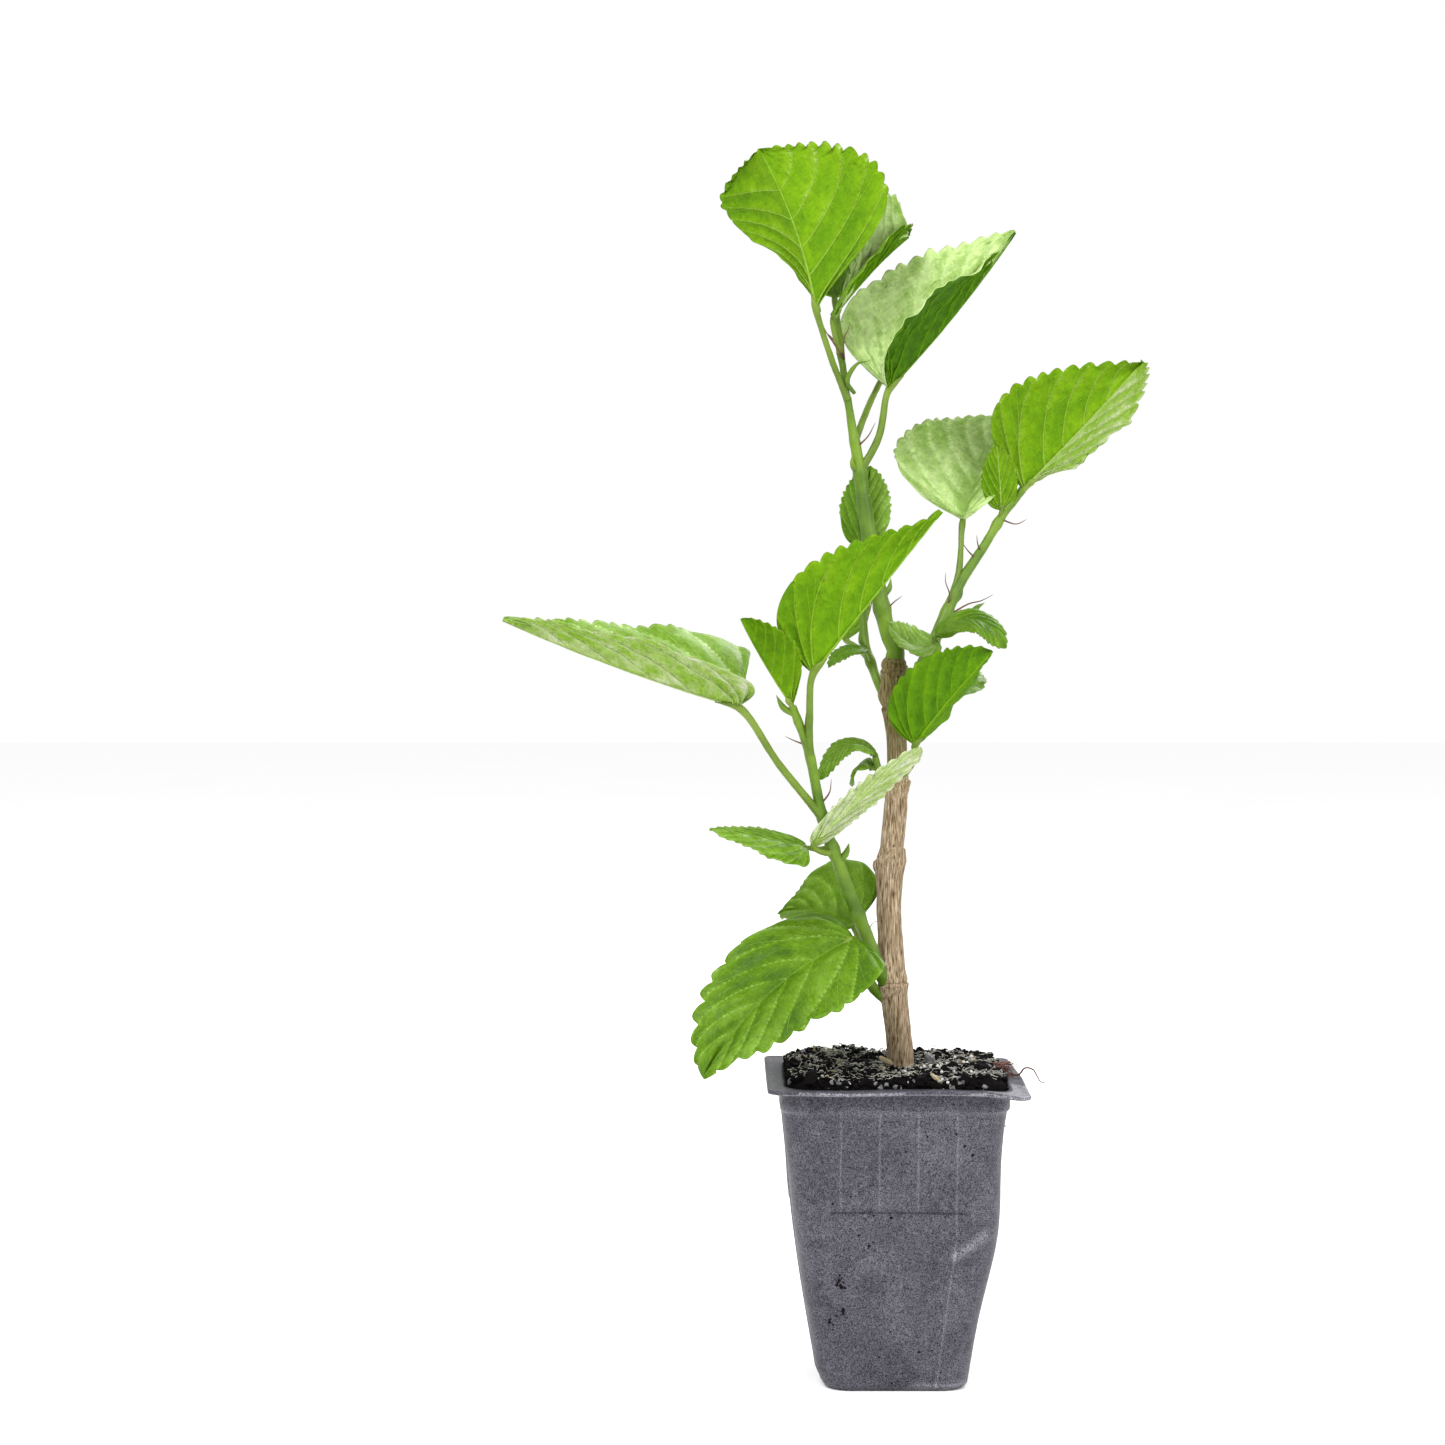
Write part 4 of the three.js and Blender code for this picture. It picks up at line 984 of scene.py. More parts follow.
def grow(name, mass, seed):
    """One foliage mass: its leaves, their veins and its green twigs, each kind in a piece of its own."""
    blades, ribs, twigs, tips = Store(), Store(), Store(), Store()
    stem, leaves = mass["stem"], mass["leaves"]
    if stem is not None:
        stem = sunk(stem)
        nodes = [leaf["petiole"][0] for leaf in leaves]
        tube(twigs, stem, knotted(stem, mass["radius"], nodes), 20, 90, relief=stem_relief)
    cells = math.ceil(math.sqrt(2 * len(leaves)))
    for i, leaf in enumerate(leaves):
        spec = {key: value for key, value in leaf.items() if key not in ("petiole", "radius")}
        blade = Blade(seed=seed + i, **spec)
        base, mid = vec(leaf["rib"][0]), vec(leaf["rib"][1])
        up = unit(vec(leaf["up"]))
        under_blade = [base - up * 0.3, base + (mid - base) * 0.2 - up * 0.8]
        path = [vec(p) for p in leaf["petiole"]] + under_blade
        tube(twigs, path, petiole_size(leaf.get("radius", 1.2)), 16, 60, skin=1, relief=stem_relief)
        full = blade.length > SMALL_LEAF
        blade_mesh(blades, blade, 20 if full else 9, i, cells)
        veins(ribs, blade, full)
        tooth_tips(tips, blade)
    kind = name.split("_")[1]
    blades.build("leaves_" + kind, UPPER + LOWER, [name], "leaf")
    ribs.build("veins_" + kind, UPPER + LOWER, [name], "leaf")
    tips.build("tooth_tips_" + kind, [TOOTH], [name], "leaf")
    twigs.build("twigs_" + kind, [SHOOT, PETIOLE], [name], "green_shoot")


for index, (name, mass) in enumerate(MASSES.items()):
    grow(name, mass, 10 * index)


# Trunk and boughs

# Leaf scar rings: height at the left, front and right, and how far the bark steps out below
SCAR_RINGS = ((136.5, 135.6, 137.2, 0.5), (175.8, 183.2, 179.6, 0.75), (203, 204.5, 206, 0.4),
              (232.6, 231, 234.5, 0.4), (245.6, 244, 247.4, 0.5))
# Knobs where shoots and old buds leave: height, direction in degrees, rise, reach along and around
KNOBS = ((140.5, -140, 1.9, 3.4, 34), (132.5, -158, 1.0, 2.8, 26), (176.5, 178, 0.8, 1.8, 22),
         (234.0, 47, 1.0, 3.2, 30), (236.0, 150, 1.5, 3.2, 30), (208.0, -147, 0.9, 2.4, 26),
         (209.5, -48, 0.9, 2.4, 26), (225.5, 5, 0.9, 2.6, 26), (206.5, 10, 0.8, 2.0, 30),
         (160.0, 70, 0.6, 2.0, 26), (190.0, 110, 0.5, 1.8, 26))


def trunk_radius(share, path=Path(TRUNK_PATH)):
    """The solid's radius, with the cut top rounded over."""
    heights, radii = zip(*TRUNK_RADII)
    over = max(0.0, share - 0.98) / 0.02
    return float(np.interp(path.at(share)[2], heights, radii)) * (1 - 0.3 * over ** 2.5)


def bark_relief(ring, out):
    """Scar rings, knobs, lengthwise furrows and small corky spots."""
    z = ring[..., 2]
    turn = np.arctan2(out[..., 1], out[..., 0])
    total = 0.0
    for left, front, right, step in SCAR_RINGS:
        back = (left + right) / 2
        line = (front + back) / 2 + (right - left) / 2 * np.cos(turn) + (back - front) / 2 * np.sin(turn)
        drop = line + 0.5 * noise(ring, 2.5, 21) - z
        total = total + step * smooth(drop / 0.7 + 0.5) * np.exp(-np.maximum(drop, 0) / 6)
        total = total - 0.3 * bell(drop + 0.7, 0.5)
    for height, azimuth, rise, along, around in KNOBS:
        away = (turn - math.radians(azimuth) + np.pi) % (2 * np.pi) - np.pi
        total = total + rise * bell(z - height, along) * bell(away, math.radians(around))
    wrap = out * 4.4 + np.array([0, 0, 1]) * (z * 0.1)[..., None]
    furrows = noise(wrap, 0.55, 5) + 0.6 * noise(wrap, 0.3, 6)
    spots = np.maximum(0, noise(ring, 1.5, 9) - 0.55)
    return total + 0.13 * furrows + 0.3 * spots + 0.22 * noise(ring, 7.0, 11)


def trunk():
    """The bark, fine enough to carry its furrows."""
    wood = Store()
    tube(wood, TRUNK_PATH, trunk_radius, 100, 540, relief=bark_relief, mapped=True)
    wood.build("trunk_bark", [BARK], ["trunk"], "bark")


def shoots():
    """The three green boughs, each with a knot half way."""
    boughs = {"bough_leader": (LEADER_PATH, lambda s: 2.8 + 0.7 * max(0, 1 - s * 8) - 0.2 * s ** 4),
              "bough_left": (LEFT_PATH, taper(2.7, 2.1)), "bough_right": (RIGHT_PATH, taper(2.6, 2.1))}
    for name, (path, radius) in boughs.items():
        green = Store()
        knots = [path[len(path) // 2]]
        if name == "bough_leader":
            path = sunk(path, 2.0)
        tube(green, path, knotted(path, radius, knots), 48, 160, relief=stem_relief, mapped=True)
        green.build("shoot_" + name.split("_")[1], [SHOOT], [name], "green_shoot")


# Stipules: thread-like scales beside the nodes, as paths; buds and a flower stalk's stub as short fat ones

STIPULES = [
    [(-17.0, 9, 353.5), (-20.6, 6, 358.6), (-23.1, 4, 361.9), (-24.5, 3, 364.9)],
    [(-16.6, 9.5, 353.0), (-16.8, 6, 360.0), (-15.5, 4, 362.6), (-14.9, 3, 365.2)],
    [(-17.4, 10, 356.0), (-21.4, 13, 361.5), (-24.1, 15, 363.8)],
    [(-6.6, 2, 274.0), (-8.0, -1, 265.4), (-9.4, -1, 261.3)],
    [(-3.6, 1, 264.0), (0.0, 0, 267.9), (2.9, -2, 270.2)],
    [(19.8, 16.5, 265.8), (20.7, 15, 271.1), (19.2, 14, 275.7), (19.2, 13, 278.8)],
    [(21.0, 17, 264.2), (27.6, 16, 268.0), (31.7, 15, 269.0), (35.8, 14, 271.1)],
    [(31.6, 24.5, 284.0), (28.8, 22, 285.7), (26.6, 21, 288.2), (25.2, 21, 290.6)],
    [(32.6, 25, 286.5), (31.2, 22, 289.2), (30.7, 21, 292.3)],
    [(-30.8, -28, 219.4), (-35.1, -26, 221.0), (-37.8, -25, 222.3)],
    [(-31.5, -28.4, 221.5), (-30.9, -30, 229.5), (-30.2, -31, 234.6)],
    [(-10.6, -9, 144.2), (-7.5, -9, 157.8), (-4.8, -9, 158.6)],
    [(-12.6, 9.2, 322.0), (-8.4, 6, 326.0), (-6.0, 4, 330.5)],
    [(-26.2, -25.6, 199.0), (-23.0, -28, 203.5), (-22.4, -29, 208.0)],
    [(39.8, 28.6, 298.4), (45.2, 26, 296.5), (48.6, 24, 298.0)],
]
BUDS = [
    ([(-13.0, 8.6, 341.0), (-15.6, 7, 345.0), (-12.3, 5, 350.9), (-8.3, 3, 351.7)], 0.75),
    ([(-9.0, 9.4, 252.4), (-10.8, 6, 254.6), (-11.3, 4, 259.2)], 0.8),
    ([(-34.6, -29.6, 229.4), (-38.6, -29, 232.2), (-41.0, -28, 236.3)], 0.9),
    ([(26.0, 1.0, 262.5), (29.4, 4, 266.4), (32.4, 5, 268.2)], 0.9),
    ([(-19.5, -20.2, 179.5), (-17.0, -22, 183.0), (-16.2, -22.5, 186.0)], 1.0),
    ([(21.0, 17.4, 267.4), (24.6, 19.4, 271.0), (26.0, 20.2, 274.6)], 0.9),
    ([(-4.6, 2.6, 269.5), (-1.2, 3.4, 273.0), (-0.6, 3.8, 276.5)], 0.9),
    ([(-11.2, 8.4, 312.4), (-13.8, 6.6, 316.0), (-14.0, 6.2, 319.6)], 0.85),
]


def bud_size(radius):
    return lambda s: radius * (0.75 + 0.5 * math.sin(math.pi * s)) * (1 - s ** 3) + 0.05


def small_growth():
    threads, buds = Store(), Store()
    for path in STIPULES:
        tube(threads, path, lambda s: 0.34 * (1 - s) ** 0.8 + 0.06, 6, 18)
    for path, radius in BUDS:
        tube(buds, path, bud_size(radius), 10, 24, relief=stem_relief)
    threads.build("stipules", [STIPULE], (), "green_shoot")
    buds.build("buds", [SHOOT], (), "green_shoot")


# Pot

FLUTES = (-19.5, -6.5, 6.5, 19.5)
FLUTE_FOOT = 62.0
FLUTE_PANEL = 7   # how far on each side of a flute the line at its foot runs
LONG_FLUTE = 3   # the flute that runs on down to the base
FOOT, WALL, COLLAR, RIM, INSIDE = range(5)   # the parts of the pot's skin, in order


def side_run(flat):
    """Offsets along one side, close together at the flutes, and how far each is from the nearest one."""
    outer = min(FLUTES[-1], flat - 2.5)
    places = (outer, FLUTES[2], FLUTES[1], -outer)
    stops = [flat] + [place + step for place in places for step in (1.0, -1.0)] + [-flat]
    counts = (7, 10, 15, 10, 14, 10, 15, 10, 7)
    pieces = [np.linspace(a, b, n, endpoint=False) for a, b, n in zip(stops, stops[1:], counts)]
    run = np.concatenate(pieces)[1:]
    away = run[:, None] - np.array(places)
    nearest = np.abs(away).argmin(1)
    return run, away[np.arange(len(run)), nearest], nearest


def square_ring(half, corner, per_corner=14):
    """Points around a rounded square with their outward directions and their distances from the flutes."""
    flat = half - corner
    run, away, nearest = side_run(flat)
    spots, outs, marks = [], [], []
    for quarter in range(4):
        c, s = math.cos(quarter * math.pi / 2), math.sin(quarter * math.pi / 2)
        turn = np.array([[c, -s], [s, c]])
        angle = np.linspace(0, np.pi / 2, per_corner + 1)
        arc = np.stack([np.cos(angle), np.sin(angle)], -1)
        spots.append((flat + corner * arc) @ turn.T)
        outs.append(arc @ turn.T)
        marks.append(np.full((per_corner + 1, 2), (1e3, 1)))
        spots.append(np.stack([run, np.full_like(run, half)], -1) @ turn.T)
        outs.append(np.tile([0, 1], (len(run), 1)) @ turn.T)
        marks.append(np.stack([away, nearest], -1))
    return np.concatenate(spots), np.concatenate(outs), np.concatenate(marks)


def body_half(z):
    return lerp(BASE_HALF, COLLAR_HALF - 0.8, z / COLLAR_FOOT)


def pot_rings():
    """Height, half width, corner radius and part of each ring, from the base up and in."""
    for z, half, corner in ((0.0, BASE_HALF - 2.4, 7.6), (0.25, BASE_HALF - 1.2, 8.2),
                            (0.8, BASE_HALF - 0.45, 8.7)):
        yield z, half, corner, FOOT
    for z in np.linspace(1.8, COLLAR_FOOT - 0.4, 112):
        yield z, body_half(z), lerp(9, 10, z / COLLAR_FOOT), WALL
    top = POT_HEIGHT - RIM_THICKNESS
    for z, half in ((COLLAR_FOOT + 0.1, COLLAR_HALF - 0.5), (COLLAR_FOOT + 0.6, COLLAR_HALF - 0.1),
                    (COLLAR_FOOT + 1.2, COLLAR_HALF), (COLLAR_FOOT + 2.6, COLLAR_HALF + 0.05),
                    (COLLAR_FOOT + 4, COLLAR_HALF + 0.05), (COLLAR_FOOT + 5.4, COLLAR_HALF),
                    (top - 0.6, COLLAR_HALF), (top - 0.15, COLLAR_HALF + 0.3), (top, COLLAR_HALF + 1)):
        yield z, half, 10.5, COLLAR
    for z, half in ((top, RIM_HALF - 0.7), (top + 0.15, RIM_HALF - 0.2), (top + 0.5, RIM_HALF),
                    (POT_HEIGHT - 0.4, RIM_HALF), (POT_HEIGHT - 0.1, RIM_HALF - 0.25),
                    (POT_HEIGHT, RIM_HALF - 0.7), (POT_HEIGHT - 0.35, RIM_HALF - 1.6),
                    (POT_HEIGHT - 0.4, RIM_HALF - 3.4)):
        yield z, half, 5.0, RIM
    inner = COLLAR_HALF - POT_WALL
    for z, half in ((POT_HEIGHT - 0.15, COLLAR_HALF + 0.8), (POT_HEIGHT - 0.2, COLLAR_HALF - 0.4),
                    (POT_HEIGHT - 0.8, inner), (COLLAR_FOOT + 1.2, inner)):
        yield z, half, 9.5, INSIDE
    for z in np.linspace(COLLAR_FOOT, POT_FLOOR + 1, 24):
        yield z, body_half(z) - POT_WALL, 9.0, INSIDE
    yield POT_FLOOR, body_half(POT_FLOOR) - POT_WALL - 0.8, 8.0, INSIDE


CREASE = (vec((18.6, 46.8)), vec((28.5, 54.5)))   # its ends in the front wall, across and up
# Bends of the thin wall: centre, how much a step upright counts against one across, reach, and how far out
BULGE = ((34, -20, 50), 1, 24, 3.0)
DENT = ((25, -30, 42), 0.75, 6, -1.3)
BACK_DENT = ((20, 33, 55), 0.7, 9, -0.8)


def bend(spot, centre, upright, reach, rise):
    return rise * bell(np.linalg.norm((spot - centre) * (1, 1, upright), axis=1), reach)


def from_crease(spot):
    """Distance, seen from the front, from the crease in the wall."""
    start, end = CREASE
    line = end - start
    away = spot[:, ::2] - start
    share = np.clip(away @ line / (line @ line), 0, 1)[:, None]
    return np.linalg.norm(away - share * line, axis=-1) + 1e3 * (spot[:, 1] > 0)


def pot_wall(points, outs, marks, z, part):
    """One ring of the wall: moulded flutes, the wall's bulges and crease, and a rim that has drooped."""
    spot = np.concatenate([points, np.full((len(points), 1), z)], 1)
    soft = smooth(z / 12) * smooth((POT_HEIGHT - 4 - z) / 12)
    leaning = np.clip(-outs[:, 0], 0, 1) * (1.5 + 1.4 * bell(z - 50, 34)) * smooth(z / 8) * (part < RIM)
    swell = 0.45 * noise(spot, 30, 31) * soft
    swell = swell + bend(spot, *BULGE) * soft + bend(spot, *DENT)
    swell = swell + 1.1 * bell(from_crease(spot), 1.5) + bend(spot, *BACK_DENT)
    if part == WALL:
        above = smooth((z - FLUTE_FOOT) / 1.5)
        reach = np.where(marks[:, 1] == LONG_FLUTE, 1.0, above)
        swell = swell + 0.36 * reach * bell(marks[:, 0], 0.42)
        panel = np.abs(marks[:, 0]) < FLUTE_PANEL
        swell = swell - 0.22 * panel * bell(z - FLUTE_FOOT, 0.8)
    else:
        swell = swell * soft
    spot[:, :2] += outs * (swell + leaning)[:, None]
    high = smooth((z - COLLAR_FOOT) / 6)
    x, y = spot[:, 0], spot[:, 1]
    droop = 1.6 * smooth((x - 26) / 18) * smooth((-y - 4) / 34)
    droop = droop - 0.5 * smooth((-x - 26) / 18) * smooth((y - 4) / 34)
    spot[:, 2] -= high * (droop + 0.22 * np.sin(x / 9 + y / 13 + 0.6))
    return spot


def pot_tones(spot, outs, marks, part, rng):
    """The tone of each face between a ring and the next: painted highlights along the rim's outer edge and
    the flute ridges, stress whitening with a painted highlight along the crease, a pale band at the collar's
    foot, a dark line in the groove at the flutes' foot, pale dust along the base at the front right, and
    painted shade inside the pot.
    """
    x, z = spot[:, 0], spot[:, 2]
    front = smooth(-outs[:, 1] * 2)
    if part == RIM:
        # Painted highlight: the rim's outer edge and underside, below its top, are far paler than the top.
        tone = np.where(z > POT_HEIGHT - 1.0, 3.4, 6.6)
    elif part == INSIDE:
        # Painted shade: the inside, of the same plastic, is far darker than the outside.
        tone = np.full(len(x), 2.0)
    else:
        # A pale band at the collar's foot, and stress whitening with a painted highlight along the crease.
        tone = 3.5 + 1.2 * bell(z - COLLAR_FOOT, 1.2) + 3.2 * bell(from_crease(spot), 1.8)
        # Painted highlight: pale lines along the flute ridges, as if they caught the light.
        reach = np.where((z > FLUTE_FOOT) | (marks[:, 1] == LONG_FLUTE), 1.0, 0.0) * (part == WALL)
        tone = tone + 1.6 * reach * bell(marks[:, 0], 0.45)
        tone = tone - 1.8 * (np.abs(marks[:, 0]) < FLUTE_PANEL) * bell(z - FLUTE_FOOT, 0.7)
        tone = tone + 2.6 * bell(z - 1.6, 1.1) * smooth((x - 2) / 4) * front
    grit = rng.normal(0, 0.32, len(x)) * (1 - 0.8 * bell(from_crease(spot), 4))
    return shade(tone + 0.7 * noise(spot, 9, 61) + 0.5 * noise(spot, 3, 62) + grit)


def drain_hole(x, y):
    hole = Store()
    tube(hole, [(x, y, -3), (x, y, 0), (x, y, 4)], lambda s: DRAIN_RADIUS, 40, 6)
    return hole.build("drain_hole", PLASTIC)


def pot():
    """The shell, with its four drain holes cut through the underside."""
    shell = Store()
    rng = np.random.default_rng(77)
    rings, skins = [], []
    for z, half, corner, part in pot_rings():
        points, outs, marks = square_ring(half, corner)
        rings.append(pot_wall(points, outs, marks, z, part))
        skins.append(pot_tones(rings[-1], outs, marks, part, rng))
    around = len(rings[0])
    centre = np.array([(0, 0, 0.0), (0, 0, POT_FLOOR)])
    grid, tris = end_caps(len(rings), around, np.concatenate(rings), centre)
    # The underside and the inside floor take index 4, tone 2: the same painted shade as the inside.
    shell.add(grid, ring_quads(len(rings), around), tris, np.concatenate(skins[:-1]), tri_skin=4)
    piece = shell.build("pot_shell", PLASTIC, ["pot"], "pot_plastic")
    offsets = (-DRAIN_OFFSET, DRAIN_OFFSET)
    cutters = [drain_hole(x, y) for x in offsets for y in offsets]
    for cutter in cutters:
        cut = piece.modifiers.new("drain", "BOOLEAN")
        cut.operation = "DIFFERENCE"
        cut.object = cutter
    graph = bpy.context.evaluated_depsgraph_get()
    piece.data = bpy.data.meshes.new_from_object(piece.evaluated_get(graph))
    piece.data.name = "pot_shell"
    piece.modifiers.clear()
    for cutter in cutters:
        bpy.data.objects.remove(cutter)


def pot_face(side, z, offset):
    """A point on the outer wall of one of the four sides."""
    half = body_half(z) if z < COLLAR_FOOT else COLLAR_HALF
    turn = side * math.pi / 2
    x, y = offset, -half
    return (x * math.cos(turn) - y * math.sin(turn), x * math.sin(turn) + y * math.cos(turn), z)


def dirt():
    """Dried splashes of soil on the pot: a few clear ones at the front and a scatter all round."""
    rng = np.random.default_rng(5)
    flecks = Store()
    front = [(-20.0, 38.5, 1.4), (-19.0, 37.2, 1.3), (-18.4, 39.4, 0.9), (-18.2, 28, 1.2), (-20.6, 27, 1.0),
             (-22.6, 25.5, 0.9), (-21.6, 23, 0.8), (-2.0, 39, 0.8), (0.6, 38.2, 0.9), (1.6, 36.4, 0.7),
             (-5.6, 39.4, 0.6), (11.0, 15, 0.8)]
    for x, z, size in front:
        for _ in range(3):
            spot = (x + rng.normal(0, 0.7), z + rng.normal(0, 0.7))
            lump(flecks, rng, pot_face(0, spot[1], spot[0]), size * rng.uniform(0.3, 0.6), ragged=0.5)
    for side in range(4):
        for _ in range(110):
            z = rng.uniform(3, 92)
            x = rng.uniform(-1, 1) * (body_half(z) - 9)
            size = rng.uniform(0.12, 0.34) * rng.choice([1, 1, 1.7])
            lump(flecks, rng, pot_face(side, z, x), size, ragged=0.5)
    flecks.build("pot_dirt", [DIRT], (), "potting_soil", smooth_faces=False)


# Soil

SOIL_HALF = COLLAR_HALF - POT_WALL - CLEAR
SOIL_REACH = 36.2   # how far from the middle crumbs and roots lie on the top
SOIL_EDGE = 36.4   # where those on the outer bank lie
BANK_FOOT = 103.2
TRUNK_ROOM = 6.4   # how far crumbs and roots keep from the trunk's middle


def soil_height(x, y, share):
    """The same uneven block as the solid's, level around the trunk."""
    waves = np.sin(x * 0.21 + 1.3) * np.cos(y * 0.17 - 0.6) + 0.6 * np.sin(x * 0.37 - y * 0.29 + 2.1)
    level = SOIL_TOP + 0.8 * np.minimum(1, share * 1.4)
    rise = 1.5 * waves + 2.2 * np.exp(-((x + 16) ** 2 + (y - 25) ** 2) / 160)
    away = np.clip((np.hypot(x - TRUNK_X, y) - 10) / 8, 0, 1)
    return level + rise * away * (1 - 0.45 * share)


def soil_bed():
    """The soil's uneven top and its banks, over a plain underside inside the pot."""
    bed = Store()
    ring, _, _ = square_ring(SOIL_HALF, 9.2, 6)
    rings = []
    for half, z in ((30, 90), (SOIL_HALF - 1.5, 96), (SOIL_HALF - 0.3, 100)):
        rings.append(np.concatenate([ring * half / SOIL_HALF, np.full((len(ring), 1), z)], 1))
    shoulder = [(1.0, 3.4), (0.995, 2.2), (0.98, 1.2)]
    for share, drop in shoulder + [(s, 0) for s in np.linspace(0.95, 0.02, 44)]:
        flat = ring * share
        z = soil_height(flat[:, 0], flat[:, 1], share) - drop
        spot = np.concatenate([flat, z[:, None]], 1)
        spot[:, 2] += 0.8 * rough(spot, 3.0, 3, 41) - 0.5
        spot[:, :2] += 0.5 * share * noise(spot, 4.0, 42)[:, None] * unit(flat) * (share > 0.9)
        rings.append(spot)
    centre = np.array([(0, 0, 90), (0, 0, rings[-1][:, 2].mean())])
    grid, tris = end_caps(len(rings), len(ring), np.concatenate(rings), centre)
    bed.add(grid, ring_quads(len(rings), len(ring)), tris)
    bed.build("soil_bed", [CRUMB[0]], ["soil"], "potting_soil", smooth_faces=False)


def soil_spot(rng, edge=False):
    """A random place on the soil, off the trunk; where edge is set, on its steep outer bank."""
    while True:
        x, y = rng.uniform(-SOIL_REACH, SOIL_REACH, 2)
        if edge:
            x, y = rng.permutation([rng.choice([-1, 1]) * SOIL_EDGE, y])
        share = max(abs(x), abs(y)) / SOIL_HALF
        corner = abs(x) + abs(y) > 2 * SOIL_HALF - 8
        if corner or math.hypot(x - TRUNK_X, y) < TRUNK_ROOM:
            continue
        top = float(soil_height(x, y, share))
        if edge:
            return vec((x, y, rng.uniform(BANK_FOOT, top - 0.6)))
        return vec((x, y, top))


def soil_crumbs():
    """Crumbs, clods and large clods over the soil's top, and crumbs on its outer bank."""
    rng = np.random.default_rng(11)
    crumbs = Store()
    # How many, their size, how far raised, least and most width, least and most height, level, share of
    # grey ones, and whether they lie on the bank
    sorts = (
        (2300, lambda: 0.42 * math.exp(rng.normal(0, 0.42)), 0.3, (0.6, 1.3), (0.5, 1), 0, 0.2, False),
        (420, lambda: rng.uniform(0.9, 1.9), -0.15, (0.6, 1.1), (0.5, 0.9), 1, 0.15, False),
        (90, lambda: rng.uniform(1.8, 3.0), -0.3, (0.7, 1.1), (0.5, 0.8), 1, 0, False),
        (900, lambda: rng.uniform(0.5, 1.3), 0, (0.7, 1.2), (0.6, 1), 0, 0.15, True))
    for count, draw_size, raised, width, height, level, grey, bank in sorts:
        for _ in range(count):
            size = draw_size()
            place = soil_spot(rng, bank) + (0, 0, size * raised)
            stretch = (1, rng.uniform(*width), rng.uniform(*height))
            pale = int(grey > 0 and rng.random() < grey)
            lump(crumbs, rng, place, size, stretch, level, pale)
    crumbs.build("soil_crumbs", CRUMB, ["soil"], "potting_soil", smooth_faces=False)


def strand(rng, start, length, curl):
    """A path that wanders from its start, near level."""
    points, heading = [vec(start)], rng.uniform(0, 2 * math.pi)
    for _ in range(5):
        heading += rng.normal(0, curl)
        step = vec((math.cos(heading), math.sin(heading), rng.normal(0, 0.35)))
        points.append(points[-1] + step * length / 5)
    return points


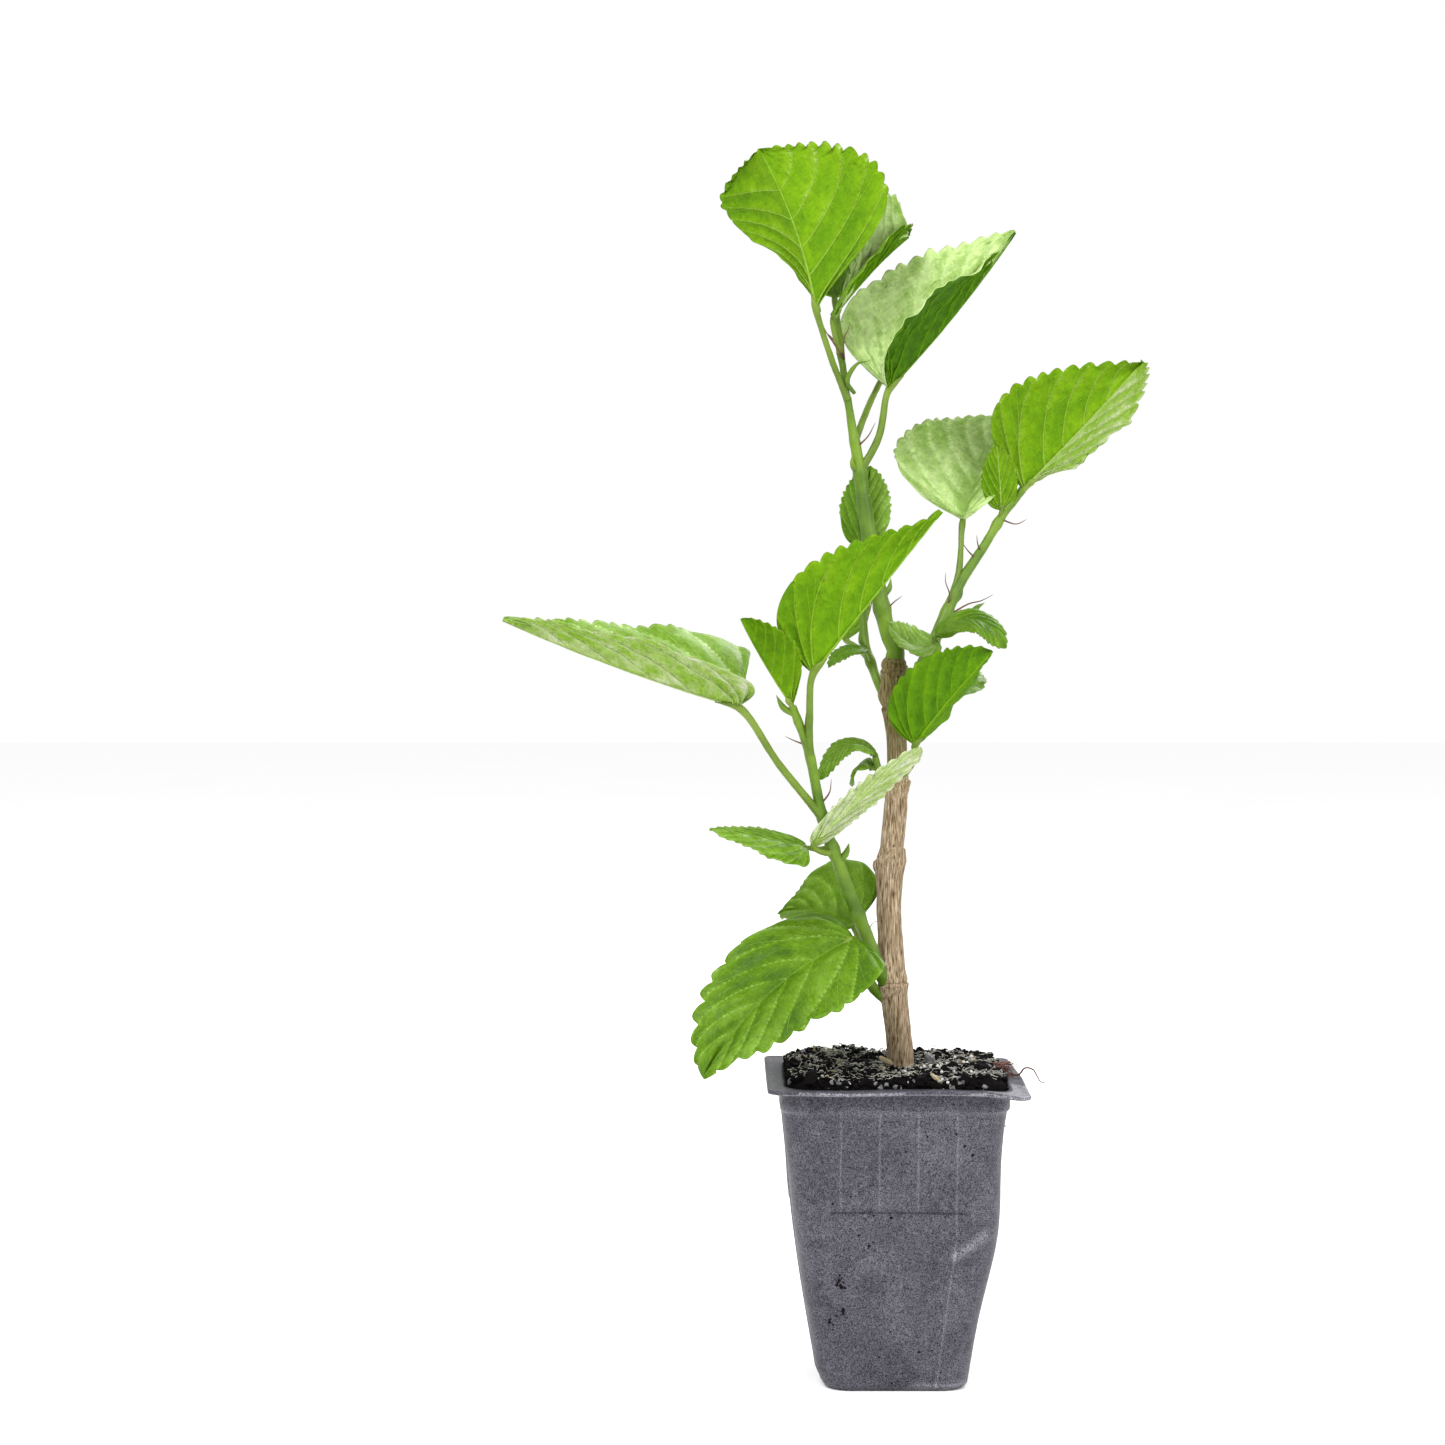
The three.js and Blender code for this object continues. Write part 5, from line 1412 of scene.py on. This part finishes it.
def soil_bits():
    """Roots, one of them over the rim, bark chips and white grains in the soil."""
    rng = np.random.default_rng(23)
    fibres, chips, grains = Store(), Store(), Store()
    for _ in range(1500):
        start = soil_spot(rng) + (0, 0, 0.5)
        if noise(start[None], 7, 81)[0] < rng.uniform(-0.6, 0.2):
            continue
        radius = rng.uniform(0.09, 0.2)
        path = strand(rng, start, rng.uniform(2, 7), 0.8)
        path = [p for p in path if max(abs(p[0]), abs(p[1])) < 37.5]
        if len(path) > 2:
            tube(fibres, path, taper(radius, radius * 0.5), 4, 7)
    over_rim = [(38.5, -7, 106.0), (42.7, -8, 105.4), (45.1, -8, 107.8), (47.7, -9, 107.4),
                (49.1, -9, 105.2), (50.5, -9, 103.1), (52.1, -10, 103.3)]
    tube(fibres, over_rim, taper(0.42, 0.16), 7, 60, skin=1)
    for _ in range(26):
        start = vec((rng.uniform(34, 37), rng.uniform(-12, 2), rng.uniform(107, 109.5)))
        end = vec((rng.uniform(38, 43), rng.uniform(-13, 1), rng.uniform(104.5, 109.5)))
        middle = (start + end) / 2 + rng.normal(0, 0.8, 3)
        tube(fibres, [start, middle, end], taper(0.3, 0.12), 5, 10, skin=1)
    named = [((-23.5, -33, 108.4), 2.2, (1.7, 0.4, 0.35)), ((13, -33.5, 107.4), 1.8, (1.6, 0.4, 0.3)),
             ((-2.5, -4.6, 109.8), 1.8, (1.5, 0.6, 0.4))]
    for place, size, stretch in named:
        lump(chips, rng, place, size, stretch, 1, ragged=0.2)
    for _ in range(26):
        stretch = (rng.uniform(1.4, 2.4), rng.uniform(0.4, 0.7), 0.3)
        lump(chips, rng, soil_spot(rng) + (0, 0, 0.6), rng.uniform(0.5, 1.2), stretch, 1, ragged=0.2)
    for i in range(110):
        place = soil_spot(rng, i % 3 == 0) + (0, 0, 0.5)
        if i % 3:
            place[0] = abs(place[0])
        lump(grains, rng, place, rng.uniform(0.3, 0.62), level=1, ragged=0.18)
    fibres.build("soil_fibres", [FIBRE, ROOT], (), "potting_soil")
    chips.build("bark_chips", [CHIP], (), "potting_soil", smooth_faces=False)
    grains.build("white_grains", [PERLITE], (), "potting_soil")


# Camera, floor and lights

def camera():
    data = bpy.data.cameras.new("camera")
    data.lens = 72
    data.sensor_width = 36
    data.clip_end = 50
    made = bpy.data.objects.new("camera", data)
    made.location = (-0.059, -1.0, 0.244)
    made.rotation_euler = (math.radians(89), 0, 0)
    bpy.context.scene.collection.objects.link(made)
    bpy.context.scene.camera = made


def studio():
    """A pale floor all round, white surroundings and three soft lamps."""
    floor = Store()
    far = 9000
    floor.add([(-far, -far, 0), (far, -far, 0), (far, far, 0), (-far, far, 0)], [(0, 1, 2, 3)])
    material, tree, base = shader("floor", (0.96, 0.96, 0.96, 1), 0.9, 0.0)
    stops = [(0.3, (0.955, 0.955, 0.955, 1)), (0.7, (0.965, 0.965, 0.965, 1))]
    tree.links.new(ramp(tree, grain(tree, coordinates(tree), 3), stops), base.inputs["Base Color"])
    sheet = floor.build("floor", [material])
    world = bpy.data.worlds.new("studio")
    bpy.context.scene.world = world
    world.use_nodes = True
    world.node_tree.nodes["Background"].inputs["Color"].default_value = WHITE
    world.node_tree.nodes["Background"].inputs["Strength"].default_value = 1.0
    lamps = (("key", (-0.8, -1.4, 1.9), 42, 0.8), ("fill", (1.5, -1.4, 1.3), 22, 1.0),
             ("back", (0.9, 1.4, 1.5), 24, 0.9))
    for name, place, power, size in lamps:
        data = bpy.data.lights.new(name, "AREA")
        data.energy = power
        data.size = size
        lamp = bpy.data.objects.new(name, data)
        lamp.location = place
        aim = vec((0, 0, 0.25)) - vec(place)
        tilt = math.atan2(math.hypot(aim[0], aim[1]), -aim[2])
        lamp.rotation_euler = (tilt, 0, math.atan2(aim[1], aim[0]) - math.pi / 2)
        bpy.context.scene.collection.objects.link(lamp)
    bpy.context.scene.view_settings.view_transform = "Standard"


camera()
studio()
trunk()
shoots()
small_growth()
pot()
dirt()
soil_bed()
soil_crumbs()
soil_bits()
